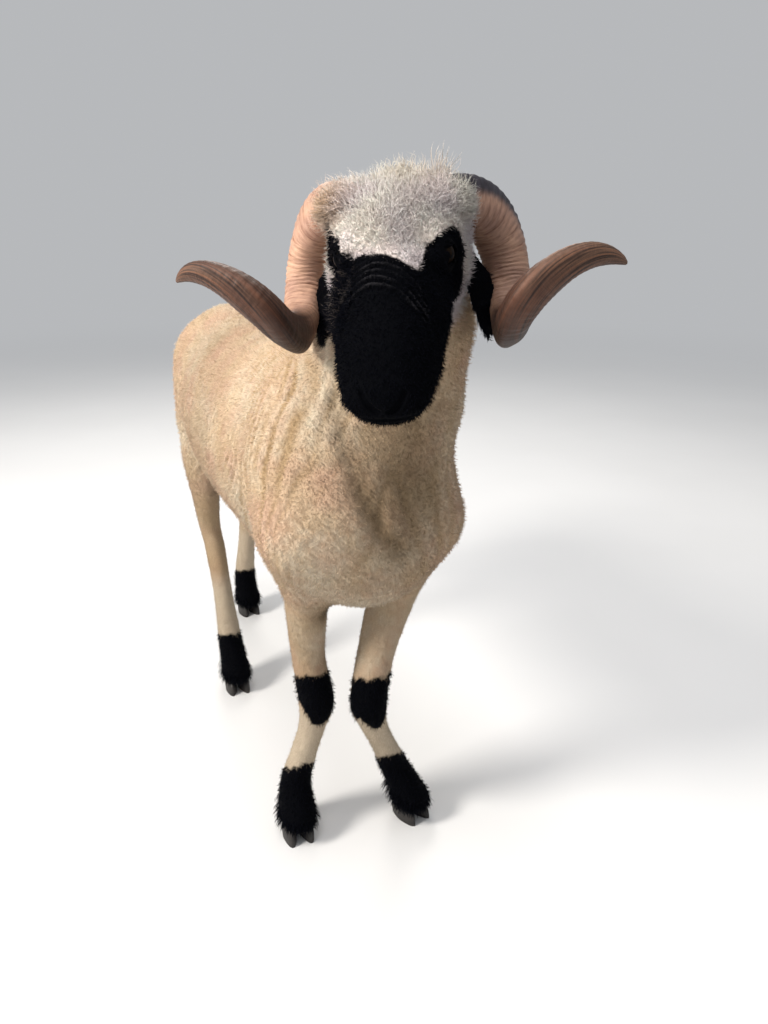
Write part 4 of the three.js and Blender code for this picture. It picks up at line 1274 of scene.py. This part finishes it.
def build_coat(skin):
    spots = skin_spots(skin)
    at, normal = spots["at"], spots["normal"]
    spots["black"] = black_of(at)
    spots["root"], spots["tip"] = colours_of(at, spots["black"])
    q = to_head(at)
    near_head = beside_head(at)
    bare = np.full(len(at), FAR, np.float32)
    bare[near_head] = bare_head(q[near_head])
    ears = np.full(len(at), FAR, np.float32)
    ears[near_head] = ears_value(q[near_head])
    fine = fine_nearness(at)
    dark = spots["black"] > 0.5
    on_head = (bare < 1.5) & (ears > 2)
    eyes = np.minimum(*[eye_distance(q, s) for _, s in SIDES])
    open_skin = (fine > 1.0) & (eyes > EYE_RADIUS + 3.2)
    pouch = (chain(at, POUCH, POUCH_JOIN) < 4) & (at[:, 2] < POUCH_TOP)
    ear = ears <= 2
    woolly = on_head & ~dark & (eyes > 19)
    face = on_head & dark & open_skin & ~ear
    leg_low = at[:, 2] < LEG_COAT_TOP
    boots = ~near_head & dark & leg_low
    fringe = boots & (at[:, 2] < FRINGE_TOP) & (normal[:, 2] > -0.55)
    legs = ~near_head & ~dark & leg_low & ~pouch
    body = ~on_head & ~ear & ~leg_low & ~pouch
    wisp = on_head & ~dark & (np.linalg.norm(q - np.array(WISP_AT), axis=1) < WISP_REACH)
    clear = smooth_step(np.minimum(q[:, 1] - face_edge(q), eyes - 24), 0, 34)
    clear = clear * (0.3 + 0.7 * smooth_step(q[:, 2] + 0.35 * q[:, 1], 0, 70))
    spots["clear"] = clear.astype(np.float32)
    spots["cheek"] = nearness(q, *LONG_CHEEK).astype(np.float32)
    spots["peak"] = nearness(q, *PEAK).astype(np.float32)
    spots["ruff"] = nearness(at, *RUFF).astype(np.float32)
    spots["cuff"] = cuff(q)
    spots["short"] = smooth_step(540 - at[:, 2], 0, 120)
    fleece = (coat_material("fleece_wool", roughness=0.95, sheen=0.15, specular=0.06, grain=0.2,
                            soften=0.5, through_light=0.25), "fleece")
    crown = (coat_material("crown_wool", roughness=0.95, sheen=0.3, specular=0.06, grain=0.1,
                           soften=0.65, through_light=0.35), "crown_wool")
    black = (coat_material("black_wool", roughness=0.75, sheen=0.0, specular=0.03, grain=0.3,
                           soften=0.2, through_light=0.0), "black_wool")
    rng = np.random.default_rng(8)

    def scattered(way, amount):
        return way + rng.normal(size=way.shape) * amount

    def even(part, low, high):
        return rng.uniform(low, high, len(part["at"])).astype(np.float32)

    def toward(part, way, head=False):
        way = np.array(way, float)
        return np.tile(HEAD_ROWS.T @ way if head else way, (len(part["at"]), 1))

    def ways(part, out, down, scatter, flow, head=False):
        laid = along_skin(part["normal"], toward(part, flow, head))
        return scattered(part["normal"] * out + laid * down, scatter)

    def grow(name, keep, coat, way, long, wide, curl, cell, seed, rings=2, parts=1, sink=1.5):
        # Covers the kept places with locks; the draws come in the order way, length, width, curl.
        for label, piece in chunks(name, thinned(spots, keep, cell, seed), parts):
            lie = way(piece)
            length = long(piece)
            width = even(piece, *wide)
            bend = even(piece, *curl) if isinstance(curl, tuple) else curl
            make_locks(label, piece, lie, length, width, bend, rings, *coat, sink)

    def face_length(piece):
        side = np.abs(piece["normal"] @ HEAD_ROWS.T[:, 0])
        wrinkle = smooth_step(np.abs(wrinkles(to_head(piece["at"]))), 0.2, 1.2)
        return even(piece, 2.6, 4.4) * (1 + 0.6 * side) * (1 - 0.5 * wrinkle)

    def crown_length(piece):
        long = even(piece, 4, 7) + even(piece, 4, 20) * piece["clear"] * (1 + 0.5 * piece["peak"])
        return long * (1 - 0.35 * piece["cuff"])

    def outward(piece):
        return np.sign(to_head(piece["at"])[:, :1]) * [0.8, 0, 0] + [0, -0.35, 0.45]

    grow("coat_body", body, fleece, lambda piece: ways(piece, 0.75, 0.6, 0.4, HAIR_DOWN),
         lambda piece: even(piece, 3.6, 6.2) * (1 - 0.3 * piece["short"]) + 7 * piece["ruff"],
         wide=(0.75, 1.2), curl=0.3, cell=2.44, seed=1, rings=1, parts=4)
    grow("coat_body_long", body, fleece, lambda piece: ways(piece, 0.8, 0.6, 0.5, HAIR_DOWN),
         lambda piece: even(piece, 5, 8) * (1 - 0.3 * piece["short"]) + 9 * piece["ruff"],
         wide=(0.6, 1.0), curl=(0.6, 1.8), cell=7.6, seed=7, parts=2)
    grow("coat_leg", legs, fleece, lambda piece: ways(piece, 0.5, 0.9, 0.3, HAIR_DOWN),
         lambda piece: even(piece, 3.2, 5), wide=(0.6, 0.95), curl=0.3, cell=2.2, seed=2, rings=1)
    grow("coat_boot", boots, black, lambda piece: ways(piece, 0.45, 1.0, 0.35, HAIR_DOWN),
         lambda piece: even(piece, 4, 8), wide=(0.6, 1.0), curl=(0.3, 1.4), cell=2.65, seed=3)
    grow("coat_fringe", fringe, black,
         lambda piece: scattered(toward(piece, (0, 0, -1)) + piece["normal"] * 0.16, 0.07),
         lambda piece: np.clip(piece["at"][:, 2] * even(piece, 0.32, 0.56) - 2, 4, 22),
         wide=(0.6, 1.0), curl=(0.4, 1.4), cell=2.4, seed=12, rings=3)
    grow("coat_face", face, black, lambda piece: ways(piece, 0.55, 0.7, 0.35, (0, -1, -0.25), True),
         face_length, wide=(0.45, 0.75), curl=(0.3, 1.3), cell=1.95, seed=4)
    grow("coat_cheek", face & (spots["cheek"] > 0.12), black,
         lambda piece: ways(piece, 1.0, 0.2, 0.4, (0, -0.3, -1), True),
         lambda piece: even(piece, 8, 19) * (0.2 + 0.85 * piece["cheek"]),
         wide=(0.55, 0.9), curl=(1.0, 2.4), cell=2.0, seed=9, rings=3)
    grow("coat_crown", woolly, crown,
         lambda piece: ways(piece, 0.7, 0.3 + 0.2 * piece["clear"][:, None], 0.55, (0, 0.35, 1), True),
         crown_length, wide=(0.38, 0.66), curl=(1.0, 2.8), cell=1.75, seed=5, rings=3, parts=2, sink=2.0)
    grow("coat_cuff", woolly & (spots["cuff"] > 0.35), crown,
         lambda piece: scattered(outward(piece) @ HEAD_ROWS + 0.3 * piece["normal"], 0.25),
         lambda piece: even(piece, 12, 25) * np.where(outward(piece) @ [1, 0, 0] > 0, 0.55, 1.0),
         wide=(0.45, 0.75), curl=(0.8, 2.4), cell=2.3, seed=14, rings=4, sink=2.0)
    grow("coat_wisp", wisp, crown, lambda piece: scattered(toward(piece, WISP_WAY), 0.13),
         lambda piece: even(piece, 24, 42), wide=(0.5, 0.8), curl=(0.6, 1.5), cell=1.9, seed=10,
         rings=5, sink=2.0)
    grow("coat_ear", ear & near_head, black,
         lambda piece: ways(piece, 0.35, 1.0, 0.25, (0, -0.5, -1), True),
         lambda piece: even(piece, 3, 6.5), wide=(0.5, 0.8), curl=(0.1, 0.6), cell=2.0, seed=6)


# Horns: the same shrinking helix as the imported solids, with growth rings raised on it.
HORN_AT = np.array([39.2, 73.9, -38.7])
HORN_AXIS = unit([1, -0.6735, -0.0253])
HORN_WIDTHS = [[0, 24], [0.1, 26], [0.2, 28], [0.28, 28], [0.36, 26], [0.48, 23], [0.6, 20.5],
               [0.72, 20.5], [0.79, 19], [0.87, 14.5], [0.94, 9.5], [0.985, 5], [1, 2.5]]
# Degrees where the helix starts and through which it turns; its radius, how much that shrinks towards
# the tip, and how much tighter it is at the root; how far it reaches along its axis.
HELIX = dict(start=83.2, turn=412.3, radius=71.7, shrink=0.2816, tight=0.27, tight_end=0.36,
             reach=216.4, power=1.1077)
# The lowest turn is pushed outwards and up.
LOW_TURN = dict(at=0.54, reach=0.19, push=(14, 0, 8))
HORN_RINGS, HORN_AROUND = 380, 44
GROWTH_PITCH = 7.5
# Radius in metres of the round on which the horn's own map is wound.
MAP_RADIUS = 0.024
# Inner tones of the two horns: the right one's paler tone is painted light glowing through the horn, the
# left one's darker tone painted shade.
INNER_TONES_LIT_AND_SHADED = {"left": np.array([0.30, 0.185, 0.135]), "right": np.array([0.52, 0.325, 0.235])}
OUTER_TONE = np.array([0.085, 0.040, 0.026])
END_TONE = np.array([0.215, 0.130, 0.085])
# A painted dark bluish sheen along the upper back edge of the root half, strong on the left horn.
EDGE_SHEEN_TONE = np.array([0.016, 0.020, 0.034])
EDGE_SHEEN_AMOUNTS = {"left": 0.95, "right": 0.15}
# Painted shade on the underside of the lowest turn.
LOW_TURN_SHADE = np.array([0.026, 0.012, 0.007])


def horn_middle(s):
    front = square_toward([0, -1, 0], HORN_AXIS)
    top = np.cross(HORN_AXIS, front)
    top = top if top[2] > 0 else -top
    angle = np.radians(HELIX["start"] + HELIX["turn"] * s)
    early = 1 - HELIX["tight"] * np.maximum(0, 1 - s / HELIX["tight_end"]) ** 1.5
    radius = HELIX["radius"] * (1 - HELIX["shrink"] * s) * early
    out = front * np.cos(angle)[:, None] + top * np.sin(angle)[:, None]
    low = np.exp(-((s - LOW_TURN["at"]) / LOW_TURN["reach"]) ** 2)[:, None] * LOW_TURN["push"]
    run = HELIX["reach"] * s ** HELIX["power"]
    return HORN_AT + HORN_AXIS * run[:, None] + low + out * radius[:, None], out


def build_horn(label, side):
    rings, around = HORN_RINGS, HORN_AROUND
    s = 1 - (1 - np.linspace(0, 1, rings)) ** 1.06
    middle, out = horn_middle(s)
    along = unit_rows(horn_middle(np.minimum(s + 0.01, 1))[0] - horn_middle(np.maximum(s - 0.01, 0))[0])
    first = unit_rows(out - along * (out * along).sum(1)[:, None])
    second = np.cross(along, first)
    run = np.append(0, np.cumsum(np.linalg.norm(np.diff(middle, axis=0), axis=1)))
    angle = np.linspace(0, 2 * np.pi, around, endpoint=False)
    width = through(HORN_WIDTHS, s)[:, 0]
    keel = 1 + 0.1 * np.cos(3 * angle)[None] * (1 - s * 0.5)[:, None]
    seed = 31 if side > 0 else 37
    place_on = np.stack([np.repeat(run, around), np.tile(np.cos(angle) * 26, rings),
                         np.tile(np.sin(angle) * 26, rings)], 1).astype(np.float32)
    wander = noise(place_on * [0.35, 1, 1], 24, seed).reshape(rings, around)
    wave = np.sin((run[:, None] + 5 * wander) * 2 * np.pi / GROWTH_PITCH)
    fine = noise(place_on * [1, 0.35, 0.35], 2.6, seed + 1).reshape(rings, around)
    inner = (1 - smooth_step(s, 0.42, 0.62))[:, None]
    groove_line = np.cos(angle * 5 + 2 * wander)
    swell = (0.42 * wave + 0.55 * fine) * (0.35 + 0.65 * inner) * np.minimum(width / 20, 1)[:, None]
    swell = swell + (0.45 * groove_line + 0.8 * wander) * (1 - inner) * np.minimum(width / 16, 1)[:, None]
    swell = swell + 0.8 * wander * inner
    r = width[:, None] * keel * 0.985 + swell - 0.3
    points = (middle[:, None] + first[:, None] * (np.cos(angle)[None] * r * 1.08)[..., None]
              + second[:, None] * (np.sin(angle)[None] * r * 0.96)[..., None]).reshape(-1, 3)
    points = np.concatenate([points, middle[:1], middle[-1:] + along[-1:] * 2])
    points = from_head(points * [side, 1, 1])
    faces = ring_faces(rings, around, len(points) - 2, len(points) - 1)
    if side < 0:
        faces = reversed_faces(faces)
    piece = mesh_object(f"{label}_horn", place(points), faces, horn_material())
    each_s = np.repeat(s, around)
    ends = smooth_step(each_s, 0.42, 0.66)
    # Painted light and shade: each horn's inner half takes its own tone.
    tone = mixed(np.tile(INNER_TONES_LIT_AND_SHADED[label], (rings * around, 1)), OUTER_TONE, ends)
    tone = mixed(tone, END_TONE, smooth_step(each_s, 0.7, 0.95) * (0.35 + 0.5 * wander.ravel()))
    # Painted sheen: a dark bluish band along the upper back edge.
    outside = np.tile(np.cos(angle - 0.25), rings) + 0.2 * wander.ravel()
    back_edge_sheen = (1 - smooth_step(each_s, 0.26, 0.42)) * smooth_step(outside, 0.62, 0.8)
    tone = mixed(tone, EDGE_SHEEN_TONE, back_edge_sheen * EDGE_SHEEN_AMOUNTS[label])
    # Painted shade: the lowest turn is made much darker.
    tone = mixed(tone, LOW_TURN_SHADE, 0.9 * np.exp(-((each_s - 0.58) / 0.12) ** 2))
    tone = np.concatenate([tone, tone[:1], tone[-1:]])
    set_colour(piece, np.clip(tone, 0.003, 1))
    set_value(piece, np.append(ends, [0, 1]), "outer")
    turn = np.append(np.repeat(run, around) / 1000, [0, run[-1] / 1000])
    lap = np.append(np.tile(angle, rings), [0, 0]) * MAP_RADIUS
    layer = piece.data.uv_layers.new(name="along")
    corner = read(piece.data.loops, "vertex_index", 1, np.int32)
    uv = np.stack([turn[corner], lap[corner]], 1)
    # Quads across the seam take their low side once more round, so that the map doesn't run back.
    block = uv[:(rings - 1) * around * 4].reshape(-1, 4, 2)
    wrapped = (block[..., 1].max(1) - block[..., 1].min(1)) > 0.07
    fix = block[wrapped]
    fix[..., 1] = np.where(fix[..., 1] < 0.05, fix[..., 1] + 2 * np.pi * MAP_RADIUS, fix[..., 1])
    block[wrapped] = fix
    layer.data.foreach_set("uv", uv.astype(np.float32).ravel())
    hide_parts(f"horn_{label}")


# The visible eyeball is this much smaller in radius than the named one.
EYE_GAP = 0.45
EYE_WHITE = np.array([0.005, 0.004, 0.004])
IRIS = np.array([0.012, 0.007, 0.004])
IRIS_RIM = np.array([0.004, 0.003, 0.003])
PUPIL = np.array([0.0015, 0.0015, 0.002])
IRIS_RADIUS = 0.66


def ball(around, rings):
    # Unit ball as points and quads, its poles along z.
    up = np.linspace(0, np.pi, rings + 1)[1:-1]
    lap = np.linspace(0, 2 * np.pi, around, endpoint=False)
    body = np.stack([np.outer(np.sin(up), np.cos(lap)), np.outer(np.sin(up), np.sin(lap)),
                     np.outer(np.cos(up), np.ones(around))], -1).reshape(-1, 3)
    points = np.concatenate([body, [[0, 0, 1], [0, 0, -1]]])
    faces = ring_faces(rings - 1, around, len(body), len(body) + 1)
    return points, [face[:1] + face[:0:-1] for face in faces]


def build_eye(label, side, material):
    points, faces = ball(64, 48)
    mirror = np.array([side, 1, 1])
    out, long = EYE_OUT * mirror, EYE_LONG * mirror
    up = EYE_UP * mirror
    u, v, w = points[:, 0], points[:, 1], points[:, 2]
    rise = np.exp(-(u ** 2 + v ** 2) / 0.42 ** 2) * (w > 0) * 0.035
    body = (u[:, None] * long + v[:, None] * up + w[:, None] * out) * (1 + rise)[:, None]
    body = body * (EYE_RADIUS - EYE_GAP)
    if side < 0:
        faces = reversed_faces(faces)
    piece = mesh_object(f"{label}_eye", place(from_head(body + EYE * mirror)), faces, material)
    r = np.hypot(u, v)
    white = np.tile(EYE_WHITE, (len(points), 1))
    iris = mixed(white, IRIS, smooth_step(IRIS_RADIUS - r, -0.04, 0.03) * (w > 0))
    iris = mixed(iris, IRIS_RIM, np.exp(-((r - IRIS_RADIUS) / 0.05) ** 2) * (w > 0))
    slot_shape = np.maximum(np.abs(u) / 0.40, np.abs(v) / 0.15) ** 4 + (np.abs(u) / 0.44) ** 4
    pupil = smooth_step(1.2 - slot_shape, -0.3, 0.3) * (w > 0)
    set_colour(piece, mixed(iris, PUPIL, pupil))
    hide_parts(f"eye_{label}")


# Claws: smooth outlines stacked from the sole upwards; height, length, width, lean back.
CLAW_STEPS = [[0, 59, 22.4, 0], [4, 60, 23, 0.6], [17, 57, 23, 3], [30, 44, 19, 9], [38, 34, 14, 13]]
# How far a claw stands off the middle of its foot, its splay, and how far it lies inside its solid.
CLAW_OFF = 13.5
CLAW_SPLAY = np.radians(4)
CLAW_GAP = 0.2
# Feet: x, y and the turn in degrees.
FEET = {"fore_right": (-91, 24, -4), "fore_left": (97, -8, 14), "hind_right": (-62, 496, -2),
        "hind_left": (60, 836, 4)}


def build_claw(foot, label, side, material):
    around, levels = 40, 16
    x0, y0, turn = FEET[foot]
    turn, splay = np.radians(turn), side * CLAW_SPLAY
    z = np.linspace(0, CLAW_STEPS[-1][0], levels)
    long, wide, back = through(CLAW_STEPS, z).T
    a = np.linspace(0, 2 * np.pi, around, endpoint=False)
    fore = np.cos(a)
    ridge = 1 + 0.006 * np.sin(z * 1.9)[:, None] + 0.004 * np.sin(a * 7 + z[:, None])
    u = np.sin(a) * (1 - 0.22 * np.maximum(fore, 0)) * (wide[:, None] / 2 - CLAW_GAP) * ridge
    v = -fore * (long[:, None] / 2 - CLAW_GAP) * ridge + back[:, None]
    x = side * CLAW_OFF + u * np.cos(splay) - v * np.sin(splay)
    y = u * np.sin(splay) + v * np.cos(splay)
    rows = np.stack([x0 + x * np.cos(turn) - y * np.sin(turn), y0 + x * np.sin(turn) + y * np.cos(turn),
                     np.repeat(z[:, None], around, 1)], -1)
    points = np.concatenate([rows.reshape(-1, 3), [rows[0].mean(0)], [rows[-1].mean(0)]])
    faces = ring_faces(levels, around, len(points) - 2, len(points) - 1)
    area = (rows[0, 1:, 0] * rows[0, :-1, 1] - rows[0, :-1, 0] * rows[0, 1:, 1]).sum()
    if area > 0:
        faces = reversed_faces(faces)
    piece = mesh_object(f"{foot}_{label}_claw", place(points), faces, material)
    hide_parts(f"{foot}_claw_{label}")


WALL = (0.95, 0.97, 1.0, 1)
WALL_LIGHT = 0.5
FLOOR_REACH = 60.0
# Lights: name, place, aim, size in metres, power in watts, colour.
LIGHTS = (("key", (-2.6, -0.3, 2.3), (0, 0.1, 0.6), 0.9, 122, (1.0, 0.95, 0.88)),
          ("top", (-0.5, -1.0, 3.4), (0, -0.4, 0.9), 1.2, 48, (1.0, 0.98, 0.98)),
          ("rim", (0.8, 2.6, 3.0), (0, 0.3, 0.7), 1.4, 55, (1.0, 0.97, 0.92)))


def build_stage():
    mesh = bpy.data.meshes.new("floor")
    far = FLOOR_REACH
    mesh.from_pydata([(-far, -far, 0), (far, -far, 0), (far, far, 0), (-far, far, 0)], [], [(0, 1, 2, 3)])
    material, tree, shader = new_material("floor")
    where = object_place(tree)
    tone = ramp_node(tree, noise_node(tree, 1.5, 3, 0.5, where).outputs["Fac"],
                     [(0.3, grey(0.72)), (0.7, grey(0.75))])
    link(tree, tone.outputs["Color"], shader.inputs["Base Color"])
    shader.inputs["Roughness"].default_value = 0.9
    # Far away the floor takes the colour of the wall behind it, so that no edge shows.
    reach = add(tree, "ShaderNodeVectorMath", operation="LENGTH")
    link(tree, where, reach.inputs[0])
    fade = add(tree, "ShaderNodeMapRange", interpolation_type="SMOOTHSTEP")
    set_inputs(fade, {"From Min": 1.6, "From Max": 7.0})
    link(tree, reach.outputs["Value"], fade.inputs["Value"])
    wall = add(tree, "ShaderNodeEmission")
    set_inputs(wall, {"Color": WALL, "Strength": WALL_LIGHT})
    show(tree, shader.outputs["BSDF"], wall.outputs["Emission"], fade.outputs["Result"])
    mesh.materials.append(material)
    floor = bpy.data.objects.new("floor", mesh)
    bpy.context.collection.objects.link(floor)
    world = bpy.data.worlds.new("studio")
    world.use_nodes = True
    set_inputs(world.node_tree.nodes["Background"], {"Color": WALL, "Strength": WALL_LIGHT})
    bpy.context.scene.world = world
    bpy.context.scene.view_settings.view_transform = "Standard"
    for name, spot, aim, size, power, colour in LIGHTS:
        data = bpy.data.lights.new(name, "AREA")
        data.shape = "DISK"
        data.size = size
        data.energy = power
        data.color = colour
        light = bpy.data.objects.new(name, data)
        light.location = spot
        way = np.array(aim) - np.array(spot)
        light.rotation_euler = (np.pi / 2 + np.arctan2(way[2], np.hypot(way[0], way[1])), 0,
                                np.arctan2(-way[0], way[1]))
        bpy.context.collection.objects.link(light)


def main():
    make_camera()
    skin = build_skin()
    unwrap(skin)
    build_coat(skin)
    eye = eye_material()
    claw = claw_material()
    for label, side in SIDES:
        build_horn(label, side)
        build_eye(label, side, eye)
    for foot in FEET:
        away = 1 if foot.endswith("left") else -1
        build_claw(foot, "outer", away, claw)
        build_claw(foot, "inner", -away, claw)
    build_stage()


main()
